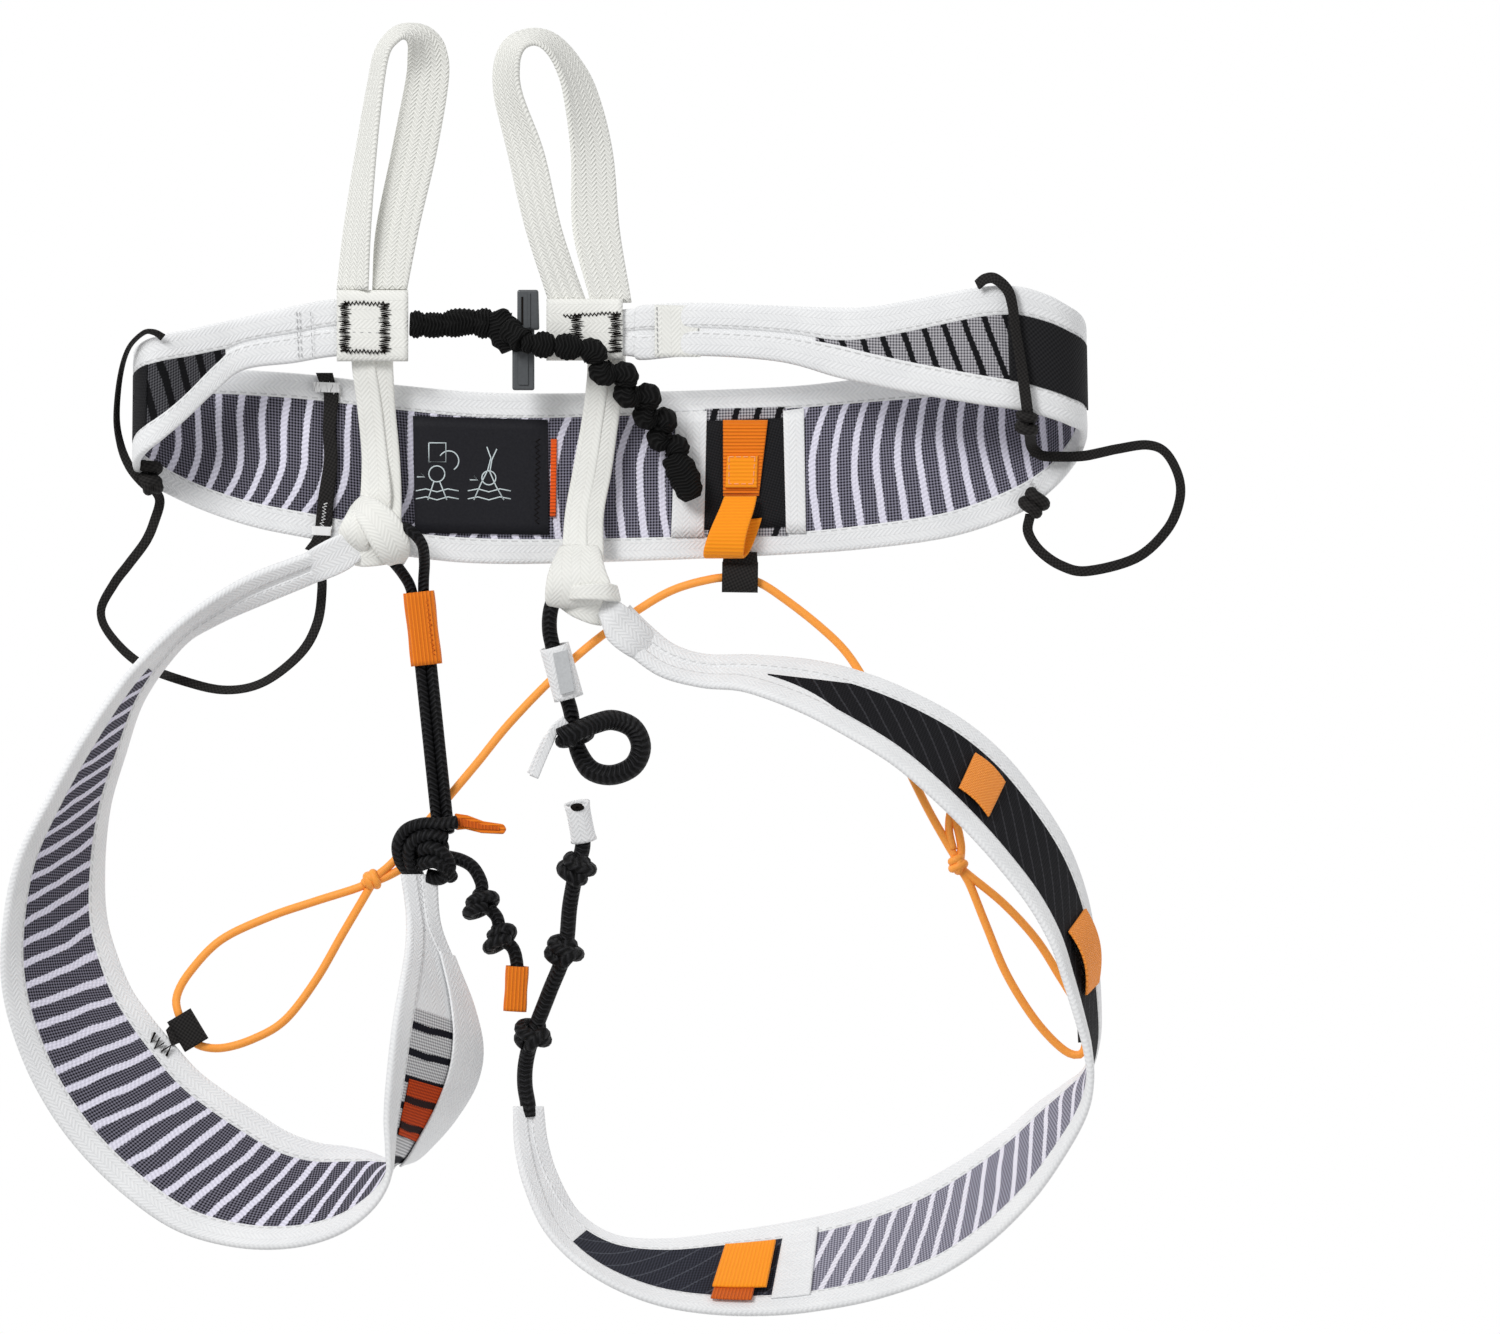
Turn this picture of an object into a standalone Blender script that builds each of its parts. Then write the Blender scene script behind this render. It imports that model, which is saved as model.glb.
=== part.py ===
"""Ultralight climbing harness laid flat with its back band down: +X to the wearer's left side of the lay, +Y towards the tie-in loops, +Z up.

Every band is a ruled surface between two smooth edge lines, cut lengthwise into tape, skin and tape. Lines are set out on a layout
grid (grid steps in X and Y, millimetres in Z).
"""
import math

import bpy
from mathutils import Vector

# ---------------------------------------------------------------- driving dimensions
GRID = 0.00032            # layout grid step, metres
GRID_X, GRID_Y = 594.27, 668.03   # grid lines through the origin
BASE_Z = -0.18              # height added to every point, millimetres
MM = 0.001
TAPE_T = 2.6              # binding thickness, folded round the skins, mm
SKIN_T = 0.6              # mesh skin thickness, mm
SKIN_APART = 0.75         # each skin's distance from the band's middle surface, mm
GAP = 0.6                 # clearance between skin and binding, mm
CORD_D = 3.5              # closing cord strand, mm
KNOTTED_D = 5.0           # knotted adjusting cord, mm
ELASTIC_D = 2.7           # rear elastic cord, mm
STEPS = 2                 # segments between two route stations

# ---------------------------------------------------------------- route stations: (edge 1), (edge 2), binding width in mm
BELT = [
    ((404, 301, 18), (404, 357, 18), 8.8),
    ((338, 300, 18), (340, 357, 18), 8.8),
    ((290, 308, 20), (295, 364, 20), 9.2),
    ((242, 319, 22), (246, 371, 22), 9.2),
    ((215, 325, 25), (217, 393, 25), 9.2),
    ((190, 331, 28), (190, 419, 28), 9.0),
    ((168, 335, 31), (166, 440, 30), 9.0),
    ((152, 340, 30), (149, 453, 28), 9.0),
    ((142, 346, 24), (140, 462, 21), 9.0),
    ((139, 352, 17), (138, 470, 14), 8.8),
    ((141, 359, 9), (143, 481, 6.8), 8.8),
    ((155, 365, 3.6), (159, 490, 3.0), 8.8),
    ((190, 368, 1.6), (202, 510, 1.6), 8.6),
    ((245, 370, 1.6), (253, 527, 1.6), 8.6),
    ((314, 375, 1.6), (312, 539, 1.6), 8.6),
    ((398, 385, 1.6), (410, 557, 1.6), 8.6),
    ((498, 393, 1.6), (498, 564, 1.6), 8.6),
    ((640, 392, 1.6), (640, 561, 1.6), 8.0),
    ((780, 387, 1.6), (780, 555, 1.6), 7.6),
    ((860, 379, 1.6), (866, 549, 1.6), 8.2),
    ((930, 372, 1.6), (951, 537, 1.6), 8.6),
    ((990, 364, 2.0), (1016, 515, 2.0), 9.0),
    ((1045, 351, 4.2), (1050, 492, 3.4), 9.0),
    ((1071, 339, 9), (1071, 468, 7.8), 9.0),
    ((1081, 327, 17), (1081, 447, 14), 9.0),
    ((1077, 315, 24), (1081, 433, 21), 9.2),
    ((1064, 306, 30), (1069, 427, 28), 9.4),
    ((1045, 296, 33), (1050, 420, 32), 9.6),
    ((1015, 288, 34), (1020, 412, 33), 9.8),
    ((978, 289, 33), (980, 406, 32), 10.0),
    ((914, 301, 29), (914, 395, 29), 10.4),
    ((870, 308, 27), (870, 386, 27), 10.6),
    ((835, 309, 25), (835, 378, 25), 10.8),
    ((780, 307, 23), (780, 363, 23), 9.0),
    ((700, 304, 21), (700, 357, 21), 8.6),
    ((645, 306, 18.8), (643, 361, 18.8), 8.4),
    ((629, 310, 18), (629, 357, 18), 7.4),
    ((568, 311, 18), (568, 356, 18), 7.2),
]
TIE_LEFT = [
    ((338, 291, 12), (369, 291, 21.5), 0),
    ((345, 230, 8.5), (371, 230, 19.5), 0),
    ((357, 153, 3.4), (376, 153, 16), 0),
    ((369, 85, 1.4), (383, 85, 14.6), 0),
    ((377, 50, 1.4), (389, 54, 14.6), 0),
    ((394, 29, 1.4), (398, 42, 14.6), 0),
    ((415, 25, 1.4), (405, 39, 14.0), 0),
    ((434, 31, 1.4), (409, 45, 11.5), 0),
    ((446, 48, 1.5), (408, 60, 6.5), 0),
    ((449, 80, 2.0), (405, 84, 3.0), 0),
    ((437, 153, 5.0), (391, 155, 5.0), 0),
    ((420, 228, 11.5), (376, 232, 11.0), 0),
    ((408, 291, 17.5), (373, 291, 16.5), 0),
]
TIE_RIGHT = [
    ((549, 303, 17), (587, 303, 17.5), 0),
    ((526, 230, 11), (562, 230, 17), 0),
    ((508, 153, 5), (544, 153, 13.4), 0),
    ((495, 95, 1.6), (522, 95, 13.2), 0),
    ((496, 60, 1.4), (519, 66, 14.4), 0),
    ((509, 38, 1.4), (524, 50, 14.8), 0),
    ((533, 30, 1.4), (535, 45, 14.8), 0),
    ((556, 36, 1.4), (546, 51, 14.6), 0),
    ((578, 58, 1.4), (556, 67, 13.2), 0),
    ((597, 92, 1.6), (564, 95, 11.6), 0),
    ((613, 153, 5.0), (571, 155, 9.0), 0),
    ((620, 230, 11), (573, 232, 12), 0),
    ((632, 303, 17), (591, 303, 17.5), 0),
]
LEG_LEFT = [
    ((338, 542, 15), (341, 571, 12), 5.0),
    ((300, 556, 16), (313, 584, 10), 5.4),
    ((251, 575, 17), (262, 605, 9), 6.2),
    ((205, 603, 20), (215, 625, 8.6), 7.0),
    ((166, 636, 23), (182, 646, 7.6), 7.6),
    ((125, 680, 27), (144, 698, 5.6), 8.4),
    ((87, 735, 33), (124, 755, 3.4), 8.8),
    ((51, 798, 38), (109, 808, 2.0), 9.0),
    ((20, 861, 38), (104, 870, 1.8), 9.0),
    ((6, 933, 34), (108, 925, 1.8), 9.0),
    ((6, 990, 29), (128, 982, 1.8), 9.0),
    ((20, 1045, 24), (150, 1015, 1.8), 9.0),
    ((44, 1098, 20), (175, 1045, 1.8), 9.0),
    ((79, 1148, 18), (200, 1072, 1.8), 9.0),
    ((126, 1194, 18), (228, 1093, 1.8), 9.0),
    ((178, 1229, 20), (258, 1113, 1.8), 9.0),
    ((237, 1245, 24), (288, 1132, 1.8), 9.0),
    ((293, 1245, 30), (318, 1143, 1.8), 9.0),
    ((340, 1231, 36), (345, 1147, 1.8), 9.0),
    ((374, 1205, 40), (368, 1152, 1.8), 9.0),
    ((390, 1176, 42), (390, 1160, 1.8), 9.0),
    ((390, 1146, 43), (412, 1158, 1.8), 9.0),
    ((388, 1118, 43), (434, 1140, 1.8), 9.0),
    ((389, 1090, 43), (457, 1114, 1.8), 9.0),
    ((392, 1056, 42), (476, 1083, 1.8), 9.0),
    ((396, 1020, 39), (482, 1050, 1.8), 9.0),
    ((402, 982, 31), (473, 1010, 2.4), 8.8),
    ((407, 948, 21), (456, 967, 4.0), 8.0),
    ((407, 915, 13), (441, 924, 6.5), 6.6),
    ((401, 874, 11), (438, 874, 8.5), 5.8),
]
LEG_RIGHT = [
    ((608, 632, 13), (630, 605, 9), 5.4),
    ((626, 652, 13), (650, 625, 8), 5.4),
    ((660, 676, 14), (675, 645, 7), 5.4),
    ((702, 687, 16), (708, 655, 6), 6.0),
    ((745, 691, 20), (757, 656, 5.4), 7.4),
    ((800, 711, 27), (818, 662, 5.2), 8.6),
    ((848, 736, 33), (871, 676, 5.2), 9.0),
    ((892, 763, 37), (920, 697, 4.4), 9.0),
    ((930, 795, 39), (964, 722, 2.8), 9.0),
    ((967, 831, 40), (1004, 756, 1.8), 9.0),
    ((1001, 869, 41), (1039, 800, 1.8), 9.0),
    ((1029, 905, 42), (1067, 846, 1.8), 9.0),
    ((1050, 942, 43), (1085, 896, 1.8), 9.0),
    ((1063, 979, 44), (1094, 948, 1.8), 9.0),
    ((1075, 1016, 45), (1098, 998, 1.8), 9.0),
    ((1084, 1047, 45), (1097, 1038, 1.8), 9.0),
    ((1088, 1078, 45), (1087, 1068, 1.8), 9.0),
    ((1083, 1109, 45), (1066, 1085, 1.8), 9.0),
    ((1064, 1147, 44), (1040, 1103, 1.8), 9.0),
    ((1031, 1195, 42), (1006, 1131, 1.8), 9.0),
    ((986, 1240, 39), (966, 1158, 1.8), 9.0),
    ((935, 1274, 36), (925, 1181, 1.8), 9.0),
    ((880, 1294, 35), (880, 1200, 1.8), 9.0),
    ((828, 1305, 35), (836, 1213, 1.8), 9.0),
    ((772, 1311, 36), (789, 1223, 1.8), 9.0),
    ((707, 1309, 38), (732, 1232, 1.8), 9.0),
    ((648, 1297, 38), (669, 1240, 1.8), 9.0),
    ((592, 1270, 35), (617, 1237, 1.8), 9.0),
    ((549, 1231, 27), (580, 1215, 2.0), 8.6),
    ((525, 1183, 17), (559, 1180, 2.6), 7.6),
    ((515, 1143, 10), (548, 1143, 3.6), 6.0),
    ((513, 1106, 7), (544, 1106, 5), 5.0),
]
RISER_LEFT = [
    ((357, 367, 14.5), (393, 367, 14.5), 0),
    ((358, 410, 11), (395, 410, 11), 0),
    ((362, 455, 9), (398, 455, 9), 0),
    ((366, 494, 10), (399, 494, 10), 0),
]
RISER_RIGHT = [
    ((589, 367, 14.5), (625, 367, 14.5), 0),
    ((583, 420, 11), (619, 420, 11), 0),
    ((574, 470, 9), (611, 470, 9), 0),
    ((566, 515, 9), (603, 515, 9), 0),
    ((564, 552, 10), (600, 552, 10), 0),
]
REAR_LOOP = [
    ((724, 497, 5.6), (757, 497, 5.6), 0),
    ((719, 510, 8.0), (754, 510, 8.0), 0),
    ((709, 533, 11.4), (747, 533, 11.4), 0),
    ((704, 549, 11.4), (744, 550, 11.4), 0),
    ((704, 557, 8.4), (744, 557, 8.4), 0),
    ((710, 553, 5.4), (750, 551, 5.4), 0),
    ((720, 538, 4.4), (757, 534, 4.4), 0),
    ((726, 522, 4.4), (762, 518, 4.4), 0),
]

# ---------------------------------------------------------------- materials
MATERIALS = {
    "tape_white": (0.88, 0.89, 0.89), "webbing_cream": (0.84, 0.84, 0.79), "mesh_inner": (0.36, 0.35, 0.42),
    "mesh_outer": (0.45, 0.44, 0.47), "black_fabric": (0.03, 0.03, 0.035), "black_webbing": (0.035, 0.03, 0.03),
    "orange_webbing": (0.95, 0.36, 0.02), "orange_elastic": (0.95, 0.42, 0.08), "black_cord": (0.02, 0.02, 0.02),
    "toggle_plastic": (0.07, 0.075, 0.08), "label": (0.02, 0.02, 0.025),
}


def clear():
    for obj in list(bpy.data.objects):
        bpy.data.objects.remove(obj, do_unlink=True)


def at(p):
    return Vector(((p[0] - GRID_X) * GRID, (GRID_Y - p[1]) * GRID, (p[2] + BASE_Z) * MM))


def smooth(points, s):
    """Catmull-Rom through the points at parameter s, counted in stations."""
    last = len(points) - 1
    s = min(max(s, 0.0), float(last))
    i = min(int(s), last - 1)
    t = s - i
    p1, p2 = points[i], points[i + 1]
    p0 = points[i - 1] if i > 0 else p1 * 2 - p2
    p3 = points[i + 2] if i + 2 <= last else p2 * 2 - p1
    return 0.5 * (2 * p1 + (p2 - p0) * t + (2 * p0 - 5 * p1 + 4 * p2 - p3) * t * t + (3 * p1 - p0 - 3 * p2 + p3) * t ** 3)


def ruled(table):
    one = [at(row[0]) for row in table]
    two = [at(row[1]) for row in table]
    wide = [Vector((row[2], 0, 0)) for row in table]

    def station(s):
        a, b = smooth(one, s), smooth(two, s)
        e = 0.02
        along = (smooth(one, s + e) - smooth(one, s - e)) + (smooth(two, s + e) - smooth(two, s - e))
        across = b - a
        normal = along.cross(across).normalized()
        return a, b, normal, smooth(wide, s).x * MM

    return station


COLLECTION = None


def material(slot):
    name = "mat_" + slot
    mat = bpy.data.materials.get(name)
    if mat is None:
        mat = bpy.data.materials.new(name)
        mat.use_nodes = True
        colour = MATERIALS[slot]
        mat.node_tree.nodes["Principled BSDF"].inputs["Base Color"].default_value = (*colour, 1)
        mat.node_tree.nodes["Principled BSDF"].inputs["Roughness"].default_value = 0.8
    return mat


def node(name, data, slot):
    mat = material(slot).copy()
    mat.name = name + "_material"
    data.materials.append(mat)
    obj = bpy.data.objects.new(name, data)
    COLLECTION.objects.link(obj)
    return obj


def sheet(name, rows, thick, slot):
    """An open grid of points with Solidify, centred on the surface."""
    wide = len(rows[0])
    verts = [p for row in rows for p in row]
    faces = [(i * wide + j, i * wide + j + 1, (i + 1) * wide + j + 1, (i + 1) * wide + j)
             for i in range(len(rows) - 1) for j in range(wide - 1)]
    mesh = bpy.data.meshes.new(name)
    mesh.from_pydata([tuple(p) for p in verts], [], faces)
    obj = node(name, mesh, slot)
    solid = obj.modifiers.new("thickness", "SOLIDIFY")
    solid.thickness = thick * MM
    solid.offset = 0.0
    return obj


def strip(name, table, s0, s1, part, thick, slot, shift=0.0, margin=GAP, steps=STEPS, lo=None, hi=None):
    """One lengthwise piece of a band: tape along edge 1, tape along edge 2, skin between them, or the full width."""
    station = ruled(table)
    count = max(2, round((s1 - s0) * steps))
    rows = []
    for k in range(count + 1):
        s = s0 + (s1 - s0) * k / count
        a, b, normal, tape = station(s)
        width = (b - a).length
        tape = min(tape, width / 2 - 0.0002)
        if part == "edge1":
            f0, f1 = 0.0, tape / width
        elif part == "edge2":
            f0, f1 = 1 - tape / width, 1.0
        elif part == "skin":
            f0 = min((tape + margin * MM) / width, 0.47)
            f1 = 1 - f0
        else:
            f0, f1 = 0.0, 1.0
        if lo is not None:
            f0, f1 = lo, hi
        move = normal * (shift * MM)
        rows.append([a.lerp(b, f0) + move, a.lerp(b, f1) + move])
    return sheet(name, rows, thick, slot)


def ribbon(name, route, wide, thick, slot, count, tilt=None):
    """A flat webbing along a route, its width level unless tilt gives an angle at each end."""
    points = [at(p) for p in route]
    rows = []
    for k in range(count + 1):
        s = (len(points) - 1) * k / count
        here = smooth(points, s)
        along = (smooth(points, s + 0.05) - smooth(points, s - 0.05)).normalized()
        side = along.cross(Vector((0, 0, 1))).normalized()
        if tilt:
            turn = math.radians(tilt[0] + (tilt[1] - tilt[0]) * k / count)
            side = side * math.cos(turn) + along.cross(side) * math.sin(turn)
        rows.append([here - side * wide * MM / 2, here + side * wide * MM / 2])
    return sheet(name, rows, thick, slot)


def cord(name, route, d, slot, count, bulges=(), bead=0.0, beads=1):
    """A round cord: a poly curve with a bevel. bulges: (station, size factor, reach in stations)."""
    points = [at(p) for p in route]
    data = bpy.data.curves.new(name, "CURVE")
    data.dimensions = "3D"
    data.bevel_depth = d * MM / 2
    data.bevel_resolution = 2
    data.use_fill_caps = True
    spline = data.splines.new("POLY")
    spline.points.add(count)
    for k in range(count + 1):
        s = (len(points) - 1) * k / count
        factor = 1.0
        for centre, size, reach in bulges:
            x = abs(s - centre) / reach
            if x < 1:
                factor = max(factor, 1 + (size - 1) * math.sqrt(1 - x * x))
        if bead:
            factor *= 1 - bead + bead * abs(math.sin(math.pi * beads * k / count))
        spline.points[k].co = (*smooth(points, s), 1)
        spline.points[k].radius = factor
    return node(name, data, slot)


def lump(name, centre, radii, slot, turn=0.0, ring=14, rows=8, ridges=0.0):
    """A rounded knot body."""
    mid = at(centre)
    bpy.ops.mesh.primitive_uv_sphere_add(segments=ring, ring_count=rows, radius=1, location=(0, 0, 0))
    obj = bpy.context.object
    mesh = obj.data
    c, s = math.cos(turn), math.sin(turn)
    for v in mesh.vertices:
        x, y, z = v.co
        r = 1 - ridges * (0.5 + 0.5 * math.cos(5 * (x + 0.6 * z)))
        x, y, z = x * r * radii[0] * MM, y * r * radii[1] * MM, z * r * radii[2] * MM
        v.co = (mid.x + x * c - y * s, mid.y + x * s + y * c, mid.z + z)
    mesh.name = name
    new = node(name, mesh, slot)
    bpy.data.objects.remove(obj)
    return new


def tube(name, p0, p1, half_wide, half_high, wall, slot, square=3.0, around=16, along=3):
    """A flat open tube along a straight line, with its flat side level."""
    a, b = at(p0), at(p1)
    axis = (b - a).normalized()
    side = axis.cross(Vector((0, 0, 1))).normalized()
    up = side.cross(axis).normalized()
    rows = []
    for k in range(along + 1):
        mid = a.lerp(b, k / along)
        row = []
        for j in range(around):
            t = 2 * math.pi * j / around
            c, s = math.cos(t), math.sin(t)
            x = math.copysign(abs(c) ** (2 / square), c) * half_wide * MM
            z = math.copysign(abs(s) ** (2 / square), s) * half_high * MM
            row.append(mid + side * x + up * z)
        rows.append(row)
    verts = [tuple(p) for row in rows for p in row]
    faces = [(i * around + j, i * around + (j + 1) % around, (i + 1) * around + (j + 1) % around, (i + 1) * around + j)
             for i in range(along) for j in range(around)]
    mesh = bpy.data.meshes.new(name)
    mesh.from_pydata(verts, [], faces)
    obj = node(name, mesh, slot)
    solid = obj.modifiers.new("wall", "SOLIDIFY")
    solid.thickness = wall * MM
    solid.offset = 0.0
    return obj


def plate(name, corners, mid_z, thick, slot, bevel=0.0):
    """A flat patch: a polygon with thickness."""
    mesh = bpy.data.meshes.new(name)
    mesh.from_pydata([tuple(at((u, v, mid_z))) for u, v in corners], [], [tuple(range(len(corners)))[::-1]])
    obj = node(name, mesh, slot)
    solid = obj.modifiers.new("thickness", "SOLIDIFY")
    solid.thickness = thick * MM
    solid.offset = 0.0
    if bevel:
        edge = obj.modifiers.new("edges", "BEVEL")
        edge.width = bevel * MM
        edge.segments = 2
    return obj


clear()
COLLECTION = bpy.data.collections.new("climbing_harness")
bpy.context.scene.collection.children.link(COLLECTION)

# ---------------------------------------------------------------- waist belt
END = len(BELT) - 1
strip("belt_tape_top", BELT, 0, END, "edge1", TAPE_T, "tape_white")
strip("belt_tape_bottom", BELT, 0, END, "edge2", TAPE_T, "tape_white")
strip("belt_skin_inner", BELT, 4.6, 31.0, "skin", SKIN_T, "mesh_inner", shift=-SKIN_APART)
strip("belt_skin_outer", BELT, 4.6, 31.0, "skin", SKIN_T, "mesh_outer", shift=SKIN_APART)
strip("belt_panel_right", BELT, 25.2, 28.5, "skin", 0.5, "black_fabric", shift=1.75, steps=4)
tube("belt_sleeve_left", (338, 329, 18), (409, 329, 18), 10.2, 2.6, 0.8, "webbing_cream", square=5)
tube("belt_sleeve_right", (547, 333.5, 18), (623, 333.5, 18), 8.6, 2.6, 0.7, "webbing_cream", square=5)
plate("label_patch", [(413, 417), (549, 421), (549, 534), (415, 532)], 3.2, 0.4, "label")
plate("label_strip", [(550.5, 439), (557, 439), (557, 516), (550.5, 516)], 3.2, 0.4, "orange_webbing")
plate("rear_cross_tape_left", [(676, 420), (706, 419), (704, 532), (672, 532)], 3.3, 0.5, "tape_white")
plate("rear_cross_tape_right", [(784, 415), (804, 412), (806, 528), (786, 528)], 3.3, 0.5, "tape_white")
plate("rear_panel", [(708, 421), (778, 418), (780, 528), (706, 528)], 3.3, 0.5, "black_fabric")
plate("rear_tab_base", [(724, 424), (767, 424), (760, 494), (724, 494)], 4.5, 0.9, "orange_webbing")
strip("rear_tab_loop", REAR_LOOP, 0, len(REAR_LOOP) - 1, "full", 1.0, "orange_webbing", steps=3)
tube("rear_keeper", (723, 577, 3.1), (758, 577, 3.1), 4.4, 2.4, 0.7, "black_webbing")
strip("gear_strap_left", [((314, 377, 3.7), (338, 377, 3.7), 0), ((316, 460, 3.7), (336, 460, 3.7), 0),
                          ((313, 532, 3.7), (333, 534, 3.7), 0), ((308, 551, 3.2), (328, 553, 3.2), 0)],
      0, 3, "full", 0.9, "black_webbing", steps=3)

# ---------------------------------------------------------------- tie-in loops, risers and their knots
strip("tie_in_loop_left", TIE_LEFT, 0, 12, "full", 2.2, "webbing_cream", steps=3)
strip("tie_in_loop_right", TIE_RIGHT, 0, 12, "full", 2.2, "webbing_cream", steps=3)
strip("riser_left", RISER_LEFT, 0, 3, "full", 2.4, "webbing_cream", steps=3)
strip("riser_right", RISER_RIGHT, 0, 4, "full", 2.4, "webbing_cream", steps=3)
lump("riser_knot_left", (378, 532, 12.2), (10.6, 10.6, 8.4), "webbing_cream", ridges=0.1)
lump("riser_knot_right", (583, 589, 11.8), (9.6, 10.0, 8.2), "webbing_cream", ridges=0.1)

# ---------------------------------------------------------------- waist lace and toggle
cord("waist_lace", [(411.5, 325, 18), (440, 325, 18), (470, 324, 18), (510, 328, 18)], 8.6, "black_cord", 18, bead=0.22, beads=6)
plate("toggle", [(517, 292), (538, 292), (539, 331), (535, 333), (535, 391), (513, 391), (513, 329), (517, 328)], 18.6, 6.6,
      "toggle_plastic", bevel=0.6)
cord("lace_tail", [(528, 345, 27.2), (548, 347, 27.4), (572, 350, 27.4), (597, 358, 26.5), (614, 374, 24.4), (632, 390, 21),
                   (646, 407, 17), (658, 426, 13), (668, 444, 10.5), (682, 466, 9), (692, 486, 8.4), (696, 498, 8.2)],
     8.6, "black_cord", 36, bead=0.24, beads=9)

# ---------------------------------------------------------------- gear loops
cord("gear_strand_left", [(160, 334, 35.4), (146, 335, 34), (131, 350, 28), (122, 378, 21), (118, 418, 15), (121, 446, 12.5),
                          (126, 468, 12), (136, 485, 12), (150, 488, 11.8)], 2.2, "black_webbing", 20, bulges=[(8, 2.1, 0.9)])
ribbon("gear_loop_left", [(158, 499, 1.4), (152, 520, 1.0), (145, 541, 0.9), (129, 564, 0.9), (114, 584, 0.9), (101, 611, 0.9),
                          (111, 636, 0.9), (141, 664, 0.9), (187, 682, 0.9), (227, 690, 0.9), (264, 682, 0.9), (300, 654, 0.9),
                          (317, 624, 0.9), (322, 590, 0.9), (321, 562, 1.0)], 4.0, 1.2, "black_webbing", 32)
cord("gear_strand_right", [(980, 283, 36.8), (994, 281, 37.6), (1006, 292, 38.0), (1011, 308, 38.2), (1014, 332, 38.2),
                           (1020, 368, 37.8), (1024, 398, 37.6), (1026, 413, 37.4), (1028, 425, 33.4), (1029, 436, 24),
                           (1031, 446, 13), (1034, 452, 8.8)],
     2.6, "black_webbing", 24, bulges=[(8.4, 1.7, 0.8)])
ribbon("gear_loop_right", [(1042, 456, 8.2), (1060, 457, 11.2), (1074, 457, 15), (1086, 456, 16), (1100, 453, 12.5), (1118, 449, 7),
                           (1147, 445, 2.4), (1166, 453, 1.0), (1179, 478, 0.9), (1179, 503, 0.9), (1166, 531, 0.9),
                           (1136, 558, 0.9), (1088, 571, 0.9), (1062, 566, 0.9), (1040, 551, 0.9), (1028, 532, 1.0)],
       4.0, 1.2, "black_webbing", 36)

# ---------------------------------------------------------------- left leg loop
LAST = len(LEG_LEFT) - 1
strip("leg_left_tape_far", LEG_LEFT, 0, LAST, "edge1", TAPE_T, "tape_white")
strip("leg_left_tape_near", LEG_LEFT, 0, LAST, "edge2", TAPE_T, "tape_white")
strip("leg_left_skin_inner", LEG_LEFT, 5.0, 27.0, "skin", SKIN_T, "mesh_inner", shift=SKIN_APART)
strip("leg_left_skin_outer", LEG_LEFT, 5.0, 27.0, "skin", SKIN_T, "mesh_outer", shift=-SKIN_APART)
strip("leg_left_tab", LEG_LEFT, 22.3, 23.1, "full", 0.8, "orange_webbing", shift=2.2, lo=0.28, hi=0.72, steps=5)
tube("leg_left_keeper", (180, 1016, 3.0), (196, 1043, 3.0), 4.2, 2.3, 0.7, "black_webbing")
cord("closing_cord_left_a", [(409.5, 573, 9.4), (411.5, 596, 7.2), (413.5, 612, 7.0), (438, 816, 7.0)], CORD_D, "black_cord", 6)
cord("closing_cord_left_b", [(422, 572, 9.4), (424, 595, 7.2), (426, 611, 7.0), (450.5, 815, 7.0)], CORD_D, "black_cord", 6)
tube("closing_sleeve_left", (418, 597, 7.0), (426.5, 666, 7.0), 4.9, 2.7, 0.7, "orange_webbing", square=3.5)
lump("hitch_left", (429, 847, 9.4), (8.8, 8.0, 5.8), "black_cord", ridges=0.16, turn=0.3)
plate("pull_tab_left", [(458.5, 817), (474, 815), (505, 824), (507, 831), (474, 832), (460, 829)], 7.6, 1.4, "orange_webbing")
cord("tail_cord_left", [(462, 860, 7), (474, 868, 6.4), (482, 884, 6.6), (481, 905, 7), (498, 917, 6.2), (501, 938, 6.8),
                        (513, 948, 5.6), (517, 963, 4.6)], 4.0, "black_cord", 26, bulges=[(3, 3.0, 0.42), (5, 2.9, 0.45)])
tube("tail_sleeve_left", (517.5, 967, 4.4), (515, 1011, 3.6), 3.9, 2.3, 0.8, "orange_webbing")

# ---------------------------------------------------------------- right leg loop
LAST = len(LEG_RIGHT) - 1
strip("leg_right_tape_far", LEG_RIGHT, 0, LAST, "edge1", TAPE_T, "tape_white")
strip("leg_right_tape_near", LEG_RIGHT, 0, LAST, "edge2", TAPE_T, "tape_white")
strip("leg_right_skin_inner", LEG_RIGHT, 4.6, 28.0, "skin", SKIN_T, "mesh_inner", shift=-SKIN_APART)
strip("leg_right_skin_outer", LEG_RIGHT, 4.6, 28.0, "skin", SKIN_T, "black_fabric", shift=SKIN_APART)
strip("leg_right_elastic_loop_a", LEG_RIGHT, 8.35, 9.1, "full", 0.8, "orange_elastic", shift=2.2, lo=0.12, hi=0.80, steps=5)
strip("leg_right_elastic_loop_b", LEG_RIGHT, 12.3, 13.7, "full", 0.8, "orange_elastic", shift=2.2, lo=0.30, hi=0.86, steps=4)
strip("leg_right_cross_tape", LEG_RIGHT, 23.4, 24.05, "full", 0.5, "tape_white", shift=-1.8, lo=0.22, hi=0.78, steps=5)
strip("leg_right_tab", LEG_RIGHT, 24.1, 25.1, "full", 0.9, "orange_webbing", shift=-3.0, lo=0.25, hi=0.88, steps=5)
tube("leg_right_keeper", (1079, 1021, 3.0), (1080, 1043, 3.0), 3.2, 2.3, 0.7, "black_webbing")
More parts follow.
